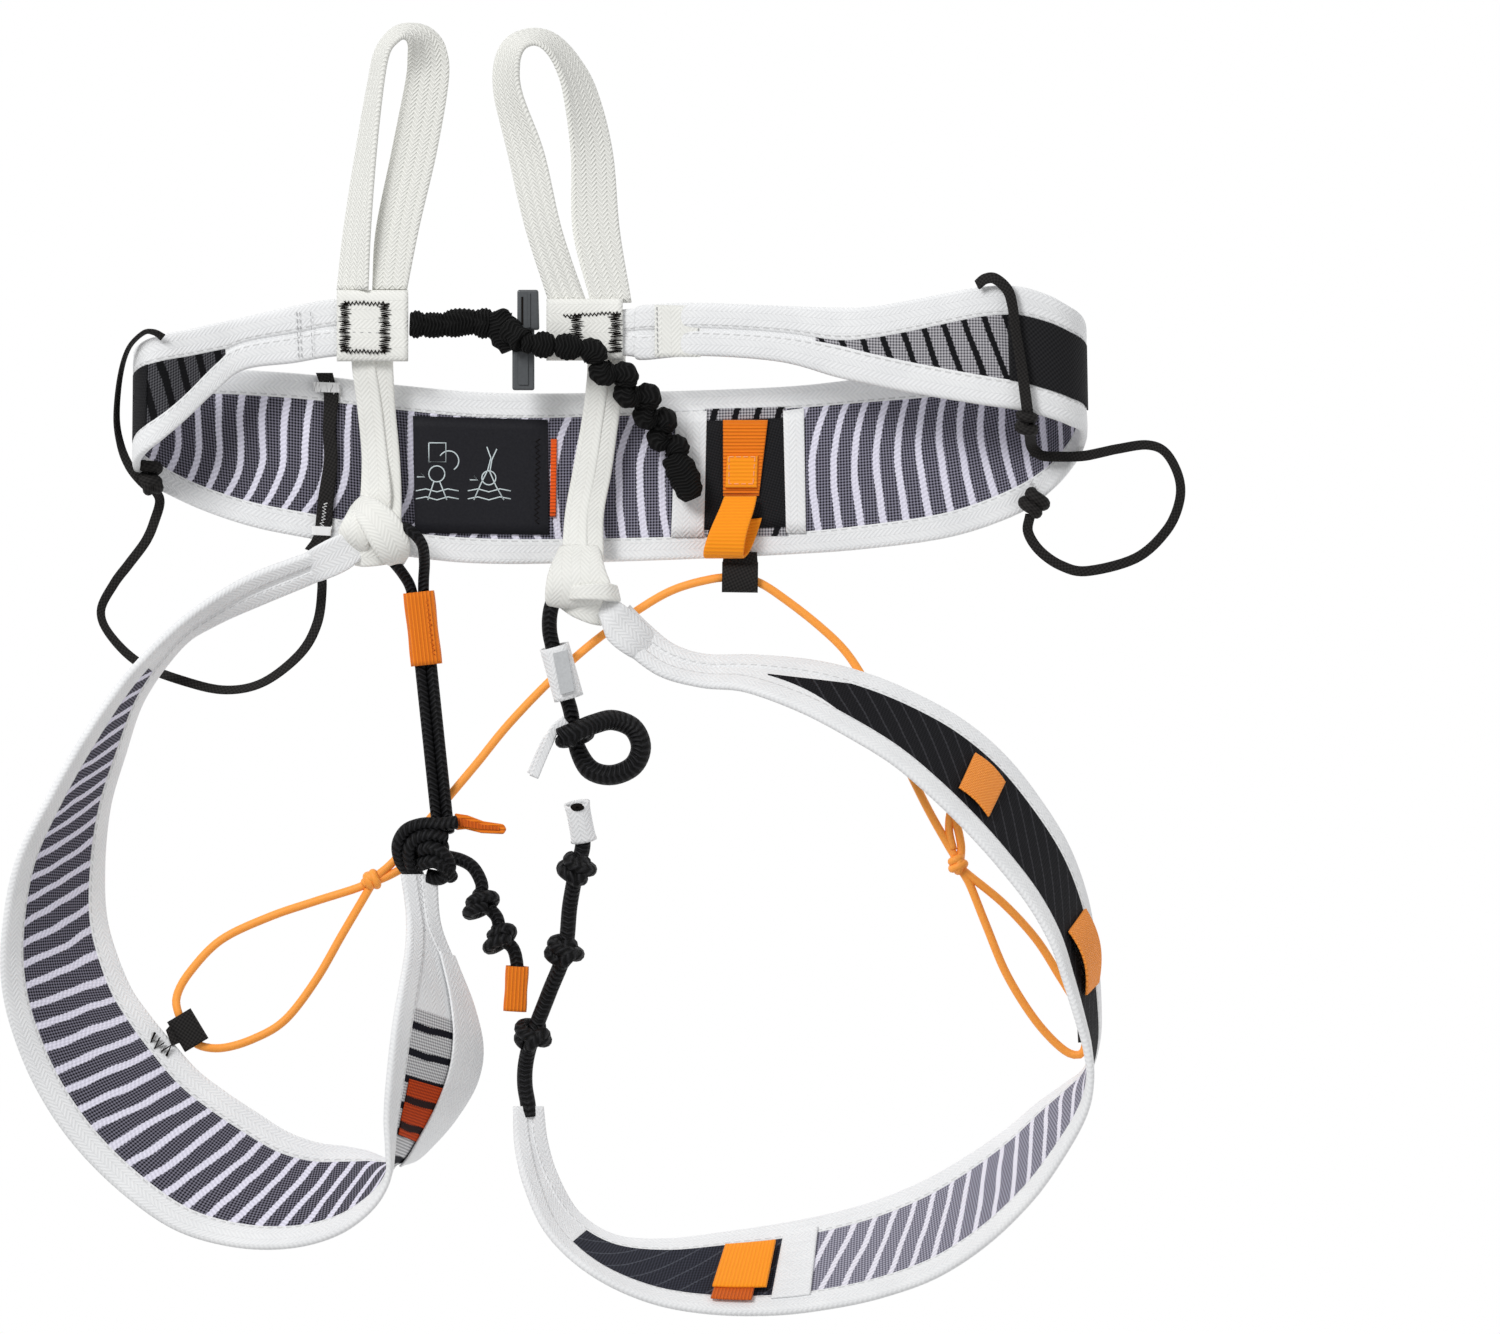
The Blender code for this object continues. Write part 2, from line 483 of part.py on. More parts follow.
cord("closing_cord_right", [(553.5, 631, 9.6), (551, 645, 9.0), (557, 668, 8.3), (565, 692, 7.5), (571, 712, 6.0), (574, 732, 4.0),
                            (579, 752, 3.4), (591, 770, 3.3), (612, 775, 3.3), (633, 766, 3.3), (641, 747, 3.3), (633, 728, 3.6),
                            (613, 720, 5.2), (594, 724, 8.2), (577, 731, 11.4), (558, 737, 11.0)], 5.6, "black_cord", 30)
tube("closing_sleeve_right", (555, 660, 8.5), (564, 692, 7.6), 4.2, 4.0, 0.8, "tape_white", square=2.4)
plate("pull_tab_right", [(540, 736), (552, 734), (549, 748), (541, 776), (532, 772), (541, 752), (531, 742)], 8.8, 1.3, "tape_white")
cord("knotted_cord_right", [(580, 843, 4), (577, 868, 6.8), (570, 905, 3.4), (565, 951, 6.6), (549, 993, 3.2), (533, 1035, 6.4),
                            (526, 1062, 3.6), (526, 1084, 4.6), (527, 1101, 5.8)], KNOTTED_D, "black_cord", 34,
     bulges=[(1, 2.35, 0.5), (3, 2.25, 0.42), (5, 2.15, 0.42)])
tube("cord_end_sleeve_right", (581, 801, 3.8), (580, 840, 4.0), 4.3, 2.9, 0.8, "tape_white")

# ---------------------------------------------------------------- rear elastic
cord("elastic_left", [(384, 872, 2.4), (366, 885, 3.5), (316, 901, 1.75), (269, 917, 1.75), (221, 940, 1.75), (190, 972, 1.75),
                      (177, 996, 2.0), (179, 1014, 2.95), (188, 1030, 2.95), (197, 1044, 2.95), (221, 1048, 1.8), (253, 1039, 1.75),
                      (285, 1020, 1.75), (316, 980, 1.75), (342, 935, 1.75), (361, 904, 2.6)], ELASTIC_D, "orange_elastic", 40,
     bulges=[(1, 2.2, 0.3)])
cord("elastic_main", [(389, 867, 1.75), (404, 852, 1.75), (429, 820, 1.75), (452, 793, 1.75), (478, 762, 1.75), (508, 725, 1.75),
                      (548, 683, 1.75), (590, 645, 1.75), (635, 612, 1.75), (673, 590, 1.8), (712, 579, 3.1), (740, 577, 3.1),
                      (760, 583, 2.6), (786, 600, 1.75), (818, 625, 1.75), (845, 651, 1.75), (866, 683, 1.75), (888, 726, 1.75),
                      (911, 775, 1.75), (929, 811, 1.75), (947, 847, 2.2), (957, 864, 3.6)], ELASTIC_D, "orange_elastic", 46,
     bulges=[(21, 2.4, 0.5)])
cord("elastic_right", [(970, 875, 1.8), (1004, 904, 1.75), (1036, 939, 1.75), (1059, 975, 1.75), (1074, 1003, 2.2), (1079, 1022, 2.95),
                       (1080, 1040, 2.95), (1076, 1054, 2.4), (1062, 1050, 1.8), (1036, 1021, 1.75), (1007, 975, 1.75),
                       (986, 925, 1.75), (971, 890, 1.8)], ELASTIC_D, "orange_elastic", 30)
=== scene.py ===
import math

import bpy
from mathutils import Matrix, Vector


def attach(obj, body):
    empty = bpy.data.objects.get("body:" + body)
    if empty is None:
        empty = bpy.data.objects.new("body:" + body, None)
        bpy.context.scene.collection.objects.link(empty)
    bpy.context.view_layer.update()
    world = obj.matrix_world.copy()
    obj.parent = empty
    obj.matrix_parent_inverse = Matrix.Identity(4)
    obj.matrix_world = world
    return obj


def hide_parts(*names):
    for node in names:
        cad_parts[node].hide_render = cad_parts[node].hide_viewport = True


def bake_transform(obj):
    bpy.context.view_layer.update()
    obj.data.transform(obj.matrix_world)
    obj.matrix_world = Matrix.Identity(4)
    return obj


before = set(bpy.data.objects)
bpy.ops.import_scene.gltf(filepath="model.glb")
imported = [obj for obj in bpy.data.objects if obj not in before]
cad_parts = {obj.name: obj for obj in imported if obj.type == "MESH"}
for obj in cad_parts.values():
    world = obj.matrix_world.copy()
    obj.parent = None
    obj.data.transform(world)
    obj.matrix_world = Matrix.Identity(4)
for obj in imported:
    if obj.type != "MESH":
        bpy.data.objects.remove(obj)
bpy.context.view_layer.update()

GRID = 0.00032            # layout grid step, metres
GRID_X, GRID_Y = 594.27, 668.03   # grid lines through the origin
BASE_Z = -0.18
MM = 0.001
TAPE_T, SKIN_T, SKIN_APART = 2.6, 0.6, 0.75

# ---------------------------------------------------------------- route stations: (edge 1), (edge 2), binding width in mm
BELT = [
    ((404, 301, 18), (404, 357, 18), 8.8),
    ((338, 300, 18), (340, 357, 18), 8.8),
    ((290, 308, 20), (295, 364, 20), 9.2),
    ((242, 319, 22), (246, 371, 22), 9.2),
    ((215, 325, 25), (217, 393, 25), 9.2),
    ((190, 331, 28), (190, 419, 28), 9.0),
    ((168, 335, 31), (166, 440, 30), 9.0),
    ((152, 340, 30), (149, 453, 28), 9.0),
    ((142, 346, 24), (140, 462, 21), 9.0),
    ((139, 352, 17), (138, 470, 14), 8.8),
    ((141, 359, 9), (143, 481, 6.8), 8.8),
    ((155, 365, 3.6), (159, 490, 3.0), 8.8),
    ((190, 368, 1.6), (202, 510, 1.6), 8.6),
    ((245, 370, 1.6), (253, 527, 1.6), 8.6),
    ((314, 375, 1.6), (312, 539, 1.6), 8.6),
    ((398, 385, 1.6), (410, 557, 1.6), 8.6),
    ((498, 393, 1.6), (498, 564, 1.6), 8.6),
    ((640, 392, 1.6), (640, 561, 1.6), 8.0),
    ((780, 387, 1.6), (780, 555, 1.6), 7.6),
    ((860, 379, 1.6), (866, 549, 1.6), 8.2),
    ((930, 372, 1.6), (951, 537, 1.6), 8.6),
    ((990, 364, 2.0), (1016, 515, 2.0), 9.0),
    ((1045, 351, 4.2), (1050, 492, 3.4), 9.0),
    ((1071, 339, 9), (1071, 468, 7.8), 9.0),
    ((1081, 327, 17), (1081, 447, 14), 9.0),
    ((1077, 315, 24), (1081, 433, 21), 9.2),
    ((1064, 306, 30), (1069, 427, 28), 9.4),
    ((1045, 296, 33), (1050, 420, 32), 9.6),
    ((1015, 288, 34), (1020, 412, 33), 9.8),
    ((978, 289, 33), (980, 406, 32), 10.0),
    ((914, 301, 29), (914, 395, 29), 10.4),
    ((870, 308, 27), (870, 386, 27), 10.6),
    ((835, 309, 25), (835, 378, 25), 10.8),
    ((780, 307, 23), (780, 363, 23), 9.0),
    ((700, 304, 21), (700, 357, 21), 8.6),
    ((645, 306, 18.8), (643, 361, 18.8), 8.4),
    ((629, 310, 18), (629, 357, 18), 7.4),
    ((568, 311, 18), (568, 356, 18), 7.2),
]
TIE_LEFT = [
    ((338, 291, 12), (369, 291, 21.5), 0),
    ((345, 230, 8.5), (371, 230, 19.5), 0),
    ((357, 153, 3.4), (376, 153, 16), 0),
    ((369, 85, 1.4), (383, 85, 14.6), 0),
    ((377, 50, 1.4), (389, 54, 14.6), 0),
    ((394, 29, 1.4), (398, 42, 14.6), 0),
    ((415, 25, 1.4), (405, 39, 14.0), 0),
    ((434, 31, 1.4), (409, 45, 11.5), 0),
    ((446, 48, 1.5), (408, 60, 6.5), 0),
    ((449, 80, 2.0), (405, 84, 3.0), 0),
    ((437, 153, 5.0), (391, 155, 5.0), 0),
    ((420, 228, 11.5), (376, 232, 11.0), 0),
    ((408, 291, 17.5), (373, 291, 16.5), 0),
]
TIE_RIGHT = [
    ((549, 303, 17), (587, 303, 17.5), 0),
    ((526, 230, 11), (562, 230, 17), 0),
    ((508, 153, 5), (544, 153, 13.4), 0),
    ((495, 95, 1.6), (522, 95, 13.2), 0),
    ((496, 60, 1.4), (519, 66, 14.4), 0),
    ((509, 38, 1.4), (524, 50, 14.8), 0),
    ((533, 30, 1.4), (535, 45, 14.8), 0),
    ((556, 36, 1.4), (546, 51, 14.6), 0),
    ((578, 58, 1.4), (556, 67, 13.2), 0),
    ((597, 92, 1.6), (564, 95, 11.6), 0),
    ((613, 153, 5.0), (571, 155, 9.0), 0),
    ((620, 230, 11), (573, 232, 12), 0),
    ((632, 303, 17), (591, 303, 17.5), 0),
]
LEG_LEFT = [
    ((338, 542, 15), (341, 571, 12), 5.0),
    ((300, 556, 16), (313, 584, 10), 5.4),
    ((251, 575, 17), (262, 605, 9), 6.2),
    ((205, 603, 20), (215, 625, 8.6), 7.0),
    ((166, 636, 23), (182, 646, 7.6), 7.6),
    ((125, 680, 27), (144, 698, 5.6), 8.4),
    ((87, 735, 33), (124, 755, 3.4), 8.8),
    ((51, 798, 38), (109, 808, 2.0), 9.0),
    ((20, 861, 38), (104, 870, 1.8), 9.0),
    ((6, 933, 34), (108, 925, 1.8), 9.0),
    ((6, 990, 29), (128, 982, 1.8), 9.0),
    ((20, 1045, 24), (150, 1015, 1.8), 9.0),
    ((44, 1098, 20), (175, 1045, 1.8), 9.0),
    ((79, 1148, 18), (200, 1072, 1.8), 9.0),
    ((126, 1194, 18), (228, 1093, 1.8), 9.0),
    ((178, 1229, 20), (258, 1113, 1.8), 9.0),
    ((237, 1245, 24), (288, 1132, 1.8), 9.0),
    ((293, 1245, 30), (318, 1143, 1.8), 9.0),
    ((340, 1231, 36), (345, 1147, 1.8), 9.0),
    ((374, 1205, 40), (368, 1152, 1.8), 9.0),
    ((390, 1176, 42), (390, 1160, 1.8), 9.0),
    ((390, 1146, 43), (412, 1158, 1.8), 9.0),
    ((388, 1118, 43), (434, 1140, 1.8), 9.0),
    ((389, 1090, 43), (457, 1114, 1.8), 9.0),
    ((392, 1056, 42), (476, 1083, 1.8), 9.0),
    ((396, 1020, 39), (482, 1050, 1.8), 9.0),
    ((402, 982, 31), (473, 1010, 2.4), 8.8),
    ((407, 948, 21), (456, 967, 4.0), 8.0),
    ((407, 915, 13), (441, 924, 6.5), 6.6),
    ((401, 874, 11), (438, 874, 8.5), 5.8),
]
LEG_RIGHT = [
    ((608, 632, 13), (630, 605, 9), 5.4),
    ((626, 652, 13), (650, 625, 8), 5.4),
    ((660, 676, 14), (675, 645, 7), 5.4),
    ((702, 687, 16), (708, 655, 6), 6.0),
    ((745, 691, 20), (757, 656, 5.4), 7.4),
    ((800, 711, 27), (818, 662, 5.2), 8.6),
    ((848, 736, 33), (871, 676, 5.2), 9.0),
    ((892, 763, 37), (920, 697, 4.4), 9.0),
    ((930, 795, 39), (964, 722, 2.8), 9.0),
    ((967, 831, 40), (1004, 756, 1.8), 9.0),
    ((1001, 869, 41), (1039, 800, 1.8), 9.0),
    ((1029, 905, 42), (1067, 846, 1.8), 9.0),
    ((1050, 942, 43), (1085, 896, 1.8), 9.0),
    ((1063, 979, 44), (1094, 948, 1.8), 9.0),
    ((1075, 1016, 45), (1098, 998, 1.8), 9.0),
    ((1084, 1047, 45), (1097, 1038, 1.8), 9.0),
    ((1088, 1078, 45), (1087, 1068, 1.8), 9.0),
    ((1083, 1109, 45), (1066, 1085, 1.8), 9.0),
    ((1064, 1147, 44), (1040, 1103, 1.8), 9.0),
    ((1031, 1195, 42), (1006, 1131, 1.8), 9.0),
    ((986, 1240, 39), (966, 1158, 1.8), 9.0),
    ((935, 1274, 36), (925, 1181, 1.8), 9.0),
    ((880, 1294, 35), (880, 1200, 1.8), 9.0),
    ((828, 1305, 35), (836, 1213, 1.8), 9.0),
    ((772, 1311, 36), (789, 1223, 1.8), 9.0),
    ((707, 1309, 38), (732, 1232, 1.8), 9.0),
    ((648, 1297, 38), (669, 1240, 1.8), 9.0),
    ((592, 1270, 35), (617, 1237, 1.8), 9.0),
    ((549, 1231, 27), (580, 1215, 2.0), 8.6),
    ((525, 1183, 17), (559, 1180, 2.6), 7.6),
    ((515, 1143, 10), (548, 1143, 3.6), 6.0),
    ((513, 1106, 7), (544, 1106, 5), 5.0),
]
RISER_LEFT = [
    ((357, 367, 14.5), (393, 367, 14.5), 0),
    ((358, 410, 11), (395, 410, 11), 0),
    ((362, 455, 9), (398, 455, 9), 0),
    ((366, 494, 10), (399, 494, 10), 0),
]
RISER_RIGHT = [
    ((589, 367, 14.5), (625, 367, 14.5), 0),
    ((583, 420, 11), (619, 420, 11), 0),
    ((574, 470, 9), (611, 470, 9), 0),
    ((566, 515, 9), (603, 515, 9), 0),
    ((564, 552, 10), (600, 552, 10), 0),
]
REAR_LOOP = [
    ((724, 497, 5.6), (757, 497, 5.6), 0),
    ((719, 510, 8.0), (754, 510, 8.0), 0),
    ((709, 533, 11.4), (747, 533, 11.4), 0),
    ((704, 549, 11.4), (744, 550, 11.4), 0),
    ((704, 557, 8.4), (744, 557, 8.4), 0),
    ((710, 553, 5.4), (750, 551, 5.4), 0),
    ((720, 538, 4.4), (757, 534, 4.4), 0),
    ((726, 522, 4.4), (762, 518, 4.4), 0),
]


def at(p):
    return Vector(((p[0] - GRID_X) * GRID, (GRID_Y - p[1]) * GRID, (p[2] + BASE_Z) * MM))


def smooth(points, s):
    last = len(points) - 1
    s = min(max(s, 0.0), float(last))
    i = min(int(s), last - 1)
    t = s - i
    p1, p2 = points[i], points[i + 1]
    p0 = points[i - 1] if i > 0 else p1 * 2 - p2
    p3 = points[i + 2] if i + 2 <= last else p2 * 2 - p1
    return 0.5 * (2 * p1 + (p2 - p0) * t + (2 * p0 - 5 * p1 + 4 * p2 - p3) * t * t + (3 * p1 - p0 - 3 * p2 + p3) * t ** 3)


def ruled(table):
    one = [at(row[0]) for row in table]
    two = [at(row[1]) for row in table]
    wide = [Vector((row[2], 0, 0)) for row in table]

    def station(s):
        a, b = smooth(one, s), smooth(two, s)
        e = 0.02
        along = (smooth(one, s + e) - smooth(one, s - e)) + (smooth(two, s + e) - smooth(two, s - e))
        across = b - a
        normal = along.cross(across).normalized()
        return a, b, normal, smooth(wide, s).x * MM

    return station


# ================================================================ camera first
cam_data = bpy.data.cameras.new("camera")
cam_data.lens = 500
cam_data.sensor_width = 36
cam_data.clip_end = 50
cam = bpy.data.objects.new("camera", cam_data)
cam.location = ((750 - GRID_X) * GRID, (GRID_Y - 667) * GRID, 0.48 * 500 / 36)
bpy.context.scene.collection.objects.link(cam)
bpy.context.scene.camera = cam

# ================================================================ materials


class Nodes:
    """A small helper for building a shader from the piece's own length and width coordinates, both in millimetres."""

    def __init__(self, name, rough=0.8, sheen=0.0, spec=0.3):
        self.mat = bpy.data.materials.new(name)
        self.mat.use_nodes = True
        self.tree = self.mat.node_tree
        self.bsdf = self.tree.nodes["Principled BSDF"]
        self.bsdf.inputs["Roughness"].default_value = rough
        self.bsdf.inputs["Specular IOR Level"].default_value = spec
        if sheen:
            self.bsdf.inputs["Sheen Weight"].default_value = sheen
            self.bsdf.inputs["Sheen Roughness"].default_value = 0.5
        self.maps = {}

    def uv(self, layer):
        if layer not in self.maps:
            node = self.tree.nodes.new("ShaderNodeUVMap")
            node.uv_map = layer
            split = self.tree.nodes.new("ShaderNodeSeparateXYZ")
            self.tree.links.new(node.outputs[0], split.inputs[0])
            self.maps[layer] = (split.outputs[0], split.outputs[1])
        return self.maps[layer]

    def put(self, socket, value):
        if isinstance(value, bpy.types.NodeSocket):
            self.tree.links.new(value, socket)
        else:
            socket.default_value = value

    def m(self, op, a, b=0.0, c=0.0, clamp=False):
        node = self.tree.nodes.new("ShaderNodeMath")
        node.operation = op
        node.use_clamp = clamp
        for k, value in enumerate((a, b, c)):
            self.put(node.inputs[k], value)
        return node.outputs[0]

    def mix(self, factor, a, b):
        node = self.tree.nodes.new("ShaderNodeMix")
        node.data_type = "RGBA"
        self.put(node.inputs[0], factor)
        self.put(node.inputs[6], (*a, 1) if isinstance(a, tuple) else a)
        self.put(node.inputs[7], (*b, 1) if isinstance(b, tuple) else b)
        return node.outputs[2]

    def band(self, x, centre, half, soft):
        """1 near centre, falling to 0 past half."""
        d = self.m("ABSOLUTE", self.m("SUBTRACT", x, centre))
        return self.m("DIVIDE", self.m("SUBTRACT", half + soft, d), soft * 2, clamp=True)

    def repeat(self, x, pitch, phase=0.0):
        return self.m("FLOORED_MODULO", self.m("ADD", x, phase), pitch)

    def wave(self, x, pitch):
        return self.m("SINE", self.m("MULTIPLY", x, 2 * math.pi / pitch))

    def noise(self, scale, detail=2.0, layer=None):
        node = self.tree.nodes.new("ShaderNodeTexNoise")
        node.inputs["Scale"].default_value = scale
        node.inputs["Detail"].default_value = detail
        if layer:
            coord = self.tree.nodes.new("ShaderNodeUVMap")
            coord.uv_map = layer
            self.tree.links.new(coord.outputs[0], node.inputs["Vector"])
        else:
            coord = self.tree.nodes.new("ShaderNodeTexCoord")
            self.tree.links.new(coord.outputs["Object"], node.inputs["Vector"])
        return node.outputs[0]

    def finish(self, colour, height=None, depth=0.2, see_through=0.0):
        self.put(self.bsdf.inputs["Base Color"], (*colour, 1) if isinstance(colour, tuple) else colour)
        if height is not None:
            bump = self.tree.nodes.new("ShaderNodeBump")
            bump.inputs["Distance"].default_value = depth * MM
            bump.inputs["Strength"].default_value = 1.0
            self.tree.links.new(height, bump.inputs["Height"])
            self.tree.links.new(bump.outputs[0], self.bsdf.inputs["Normal"])
        if not isinstance(see_through, float) or see_through:
            clear = self.tree.nodes.new("ShaderNodeBsdfTransparent")
            both = self.tree.nodes.new("ShaderNodeMixShader")
            self.put(both.inputs[0], see_through)
            out = self.tree.nodes["Material Output"]
            self.tree.links.new(self.bsdf.outputs[0], both.inputs[1])
            self.tree.links.new(clear.outputs[0], both.inputs[2])
            self.tree.links.new(both.outputs[0], out.inputs[0])
        return self.mat


def tape_material(name, base, dark, stitch_at=None, rows=4.4, stitch=(0.42, 0.42, 0.42)):
    """Herringbone tape: slanted ribs that change side every few millimetres, and one dashed seam."""
    n = Nodes(name, 0.85, sheen=0.15, spec=0.2)
    u, v = n.uv("mm")
    zig = n.m("PINGPONG", n.m("ADD", v, 50.0), rows / 2)
    rib = n.wave(n.m("ADD", u, n.m("MULTIPLY", zig, 1.1)), 1.6)
    groove = n.band(n.repeat(v, rows / 2, 50), 0.0, 0.06, 0.12)
    height = n.m("SUBTRACT", n.m("MULTIPLY", rib, 0.8), groove)
    shade = n.m("ADD", n.m("MULTIPLY", rib, 0.15), n.m("ADD", n.m("MULTIPLY", n.noise(90, 2), 0.5), 0.45), clamp=True)
    colour = n.mix(shade, dark, base)
    if stitch_at is not None:
        w, t = n.uv("unit")
        line = n.band(t, stitch_at, 0.035, 0.05)
        dash = n.m("LESS_THAN", n.repeat(u, 3.3), 2.0)
        hole = n.m("MULTIPLY", line, dash)
        colour = n.mix(n.m("MULTIPLY", hole, 0.75), colour, stitch)
        height = n.m("SUBTRACT", height, n.m("MULTIPLY", line, 1.6))
    return n.finish(colour, height, 0.055)


def webbing_material(name, base, dark, column=2.9):
    """Tubular webbing: lengthwise ridges, each with a fine chevron."""
    n = Nodes(name, 0.85, sheen=0.1, spec=0.2)
    u, v = n.uv("mm")
    place = n.repeat(v, column, 50.4)
    away = n.m("ABSOLUTE", n.m("SUBTRACT", place, column / 2))
    rib = n.wave(n.m("ADD", u, n.m("MULTIPLY", away, 1.1)), 1.5)
    groove = n.band(away, column / 2, 0.16, 0.3)
    height = n.m("SUBTRACT", n.m("MULTIPLY", rib, 1.1), n.m("MULTIPLY", groove, 1.1))
    # the colour is also darkened along the grooves: painted shade, beside their real bump
    shade = n.m("SUBTRACT", n.m("ADD", n.m("MULTIPLY", rib, 0.26), 0.72), n.m("MULTIPLY", groove, 0.22), clamp=True)
    return n.finish(n.mix(shade, dark, base), height, 0.11)


def skin_material(name, base, weave, stripe, pitch, wide, phase=0.0, slant=0.0, turn=0.0, see_through=0.0, stripe_rib=1.5, low=0.0, high=0.0, wobble=0.35, dot=1.35):
    """Thin mesh fabric with crosswise stripes."""
    n = Nodes(name, 0.85, spec=0.15)
    u, v = n.uv("mm")
    lean = n.m("ADD", u, n.m("MULTIPLY", v, n.m("ADD", n.m("MULTIPLY", u, turn), slant)))
    if low:
        lean = n.m("ADD", lean, n.m("MULTIPLY", n.m("POWER", n.m("MAXIMUM", v, 0.0), 2.0), low))
    if high:
        lean = n.m("ADD", lean, n.m("MULTIPLY", n.m("POWER", n.m("MAXIMUM", n.m("MULTIPLY", v, -1.0), 0.0), 2.0), high))
    lean = n.m("ADD", lean, n.m("MULTIPLY", n.noise(0.07, 1, "mm"), 4 * wobble))
    lean = n.m("ADD", lean, n.m("MULTIPLY", n.wave(v, 1.5), 0.12))
    mark = n.band(n.repeat(lean, pitch, phase), pitch / 2, wide / 2, 0.12)
    grid = n.m("MULTIPLY", n.wave(n.m("ADD", u, v), dot * 1.41), n.wave(n.m("SUBTRACT", u, v), dot * 1.41))
    spot = n.m("ADD", n.m("MULTIPLY", grid, 0.9), 0.46, clamp=True)
    body = n.mix(spot, weave, base)
    cross = n.m("ADD", n.m("MULTIPLY", n.wave(n.m("ADD", v, n.m("MULTIPLY", u, 0.6)), stripe_rib), 0.35), 0.65)
    bright = n.mix(cross, tuple(0.72 * c for c in stripe), stripe)
    colour = n.mix(mark, body, bright)
    height = n.m("ADD", n.m("MULTIPLY", grid, 0.5), n.m("MULTIPLY", mark, 1.2))
    clear = n.m("MULTIPLY", n.m("SUBTRACT", 1.0, mark), see_through) if see_through else 0.0
    return n.finish(colour, height, 0.12, clear)


def plain_weave(name, base, lift, pitch=1.1, lean=0.0, rough=0.7, depth=0.08, spec=0.35):
    n = Nodes(name, rough, spec=spec)
    u, v = n.uv("mm")
    a = n.wave(n.m("ADD", u, n.m("MULTIPLY", v, lean)), pitch)
    b = n.wave(n.m("SUBTRACT", v, n.m("MULTIPLY", u, lean)), pitch)
    h = n.m("MULTIPLY", a, b)
    return n.finish(n.mix(n.m("ADD", n.m("MULTIPLY", h, 0.5), 0.5), base, lift), h, depth)


def grosgrain(name, base, dark, pitch=1.0, depth=0.16, lengthwise=False):
    n = Nodes(name, 0.7, sheen=0.1, spec=0.25)
    u, v = n.uv("mm")
    rib = n.wave(v if lengthwise else u, pitch)
    shade = n.m("ADD", n.m("MULTIPLY", rib, 0.32), 0.68, clamp=True)
    return n.finish(n.mix(shade, dark, base), rib, depth)


def braid(name, base, lift, length=2.6, count=4, depth=0.28, rough=0.55):
    """Round braided cord: the first coordinate runs along it, the second once round."""
    n = Nodes(name, rough, spec=0.16)
    u, t = n.uv("unit")
    zig = n.m("PINGPONG", n.m("ADD", n.m("MULTIPLY", t, float(count)), 20.0), 0.5)
    h = n.wave(n.m("ADD", u, n.m("MULTIPLY", zig, 1.9 * length)), length)
    return n.finish(n.mix(n.m("POWER", n.m("ADD", n.m("MULTIPLY", h, 0.5), 0.5), 2.0), base, lift), h, depth)


def solid(name, colour, rough=0.6, spec=0.4, grain=0.0):
    n = Nodes(name, rough, spec=spec)
    if grain:
        tint = tuple(min(1, c * 1.35 + 0.01) for c in colour)
        k = n.noise(1500, 3)
        return n.finish(n.mix(k, colour, tint), k, grain)
    return n.finish(colour)


WHITE, WHITE_D = (0.90, 0.905, 0.91), (0.66, 0.67, 0.69)
TAPE_IN1 = tape_material("tape_seam_high", WHITE, WHITE_D, 0.70)
TAPE_IN2 = tape_material("tape_seam_low", WHITE, WHITE_D, -0.70)
TAPE = tape_material("tape_plain", WHITE, WHITE_D)
CREAM = webbing_material("tie_in_webbing", (0.87, 0.87, 0.83), (0.62, 0.62, 0.58), column=3.3)
CREAM_FLAT = tape_material("riser_tape", (0.90, 0.90, 0.86), (0.66, 0.66, 0.63), rows=6.0)
INNER, INNER_D, STRIPE = (0.20, 0.192, 0.245), (0.004, 0.004, 0.007), (0.82, 0.80, 0.93)
LILAC = skin_material("inner_mesh_left", INNER, INNER_D, STRIPE, 6.88, 2.1, low=0.022, high=-0.004)
LILAC_R = skin_material("inner_mesh_right", (0.27, 0.26, 0.335), (0.010, 0.010, 0.015), STRIPE, 6.88, 2.2, low=-0.004, high=-0.012)
LILAC_LEG = skin_material("inner_mesh_leg", INNER, INNER_D, STRIPE, 7.2, 2.3, slant=0.95, turn=-0.0066, wobble=0.6)
LILAC_LEG_R = skin_material("inner_mesh_leg_right", (0.40, 0.39, 0.47), (0.10, 0.098, 0.13), (0.86, 0.84, 0.93), 7.2, 2.0, slant=0.35, wobble=0.5)
OUTER_GREY = skin_material("outer_mesh", (0.50, 0.49, 0.52), (0.09, 0.088, 0.10), (0.006, 0.006, 0.008), 7.0, 2.0, slant=0.35)
OUTER_DARK = skin_material("outer_mesh_dark", (0.10, 0.10, 0.11), (0.012, 0.012, 0.015), (0.004, 0.004, 0.005), 6.6, 2.4, slant=0.3)
OUTER_LEG = skin_material("outer_mesh_leg", (0.78, 0.78, 0.79), (0.26, 0.26, 0.27), (0.006, 0.006, 0.012), 8.6, 2.3, wobble=0.4)
TAB_THROUGH = skin_material("tab_behind_mesh", (0.62, 0.07, 0.008), (0.28, 0.025, 0.003), (0.02, 0.006, 0.006), 8.6, 2.3, wobble=0.4)
PANEL_LEG = skin_material("leg_panel", (0.012, 0.012, 0.015), (0.003, 0.003, 0.004), (0.04, 0.04, 0.046), 7.0, 0.8, slant=0.8)
PANEL = plain_weave("black_panel", (0.004, 0.004, 0.005), (0.016, 0.016, 0.018), pitch=1.4, lean=0.5, spec=0.15)
PANEL_GREY = plain_weave("dark_panel", (0.006, 0.006, 0.007), (0.024, 0.024, 0.026), pitch=1.5, lean=0.0, spec=0.1)
DARK_MESH = skin_material("dark_inner_mesh", (0.04, 0.043, 0.062), (0.008, 0.008, 0.012), (0.075, 0.08, 0.10), 9.0, 0.8, slant=0.8)
BLACK_WEB = plain_weave("black_webbing", (0.005, 0.0045, 0.0045), (0.028, 0.026, 0.025), pitch=1.5, lean=0.35, spec=0.15)
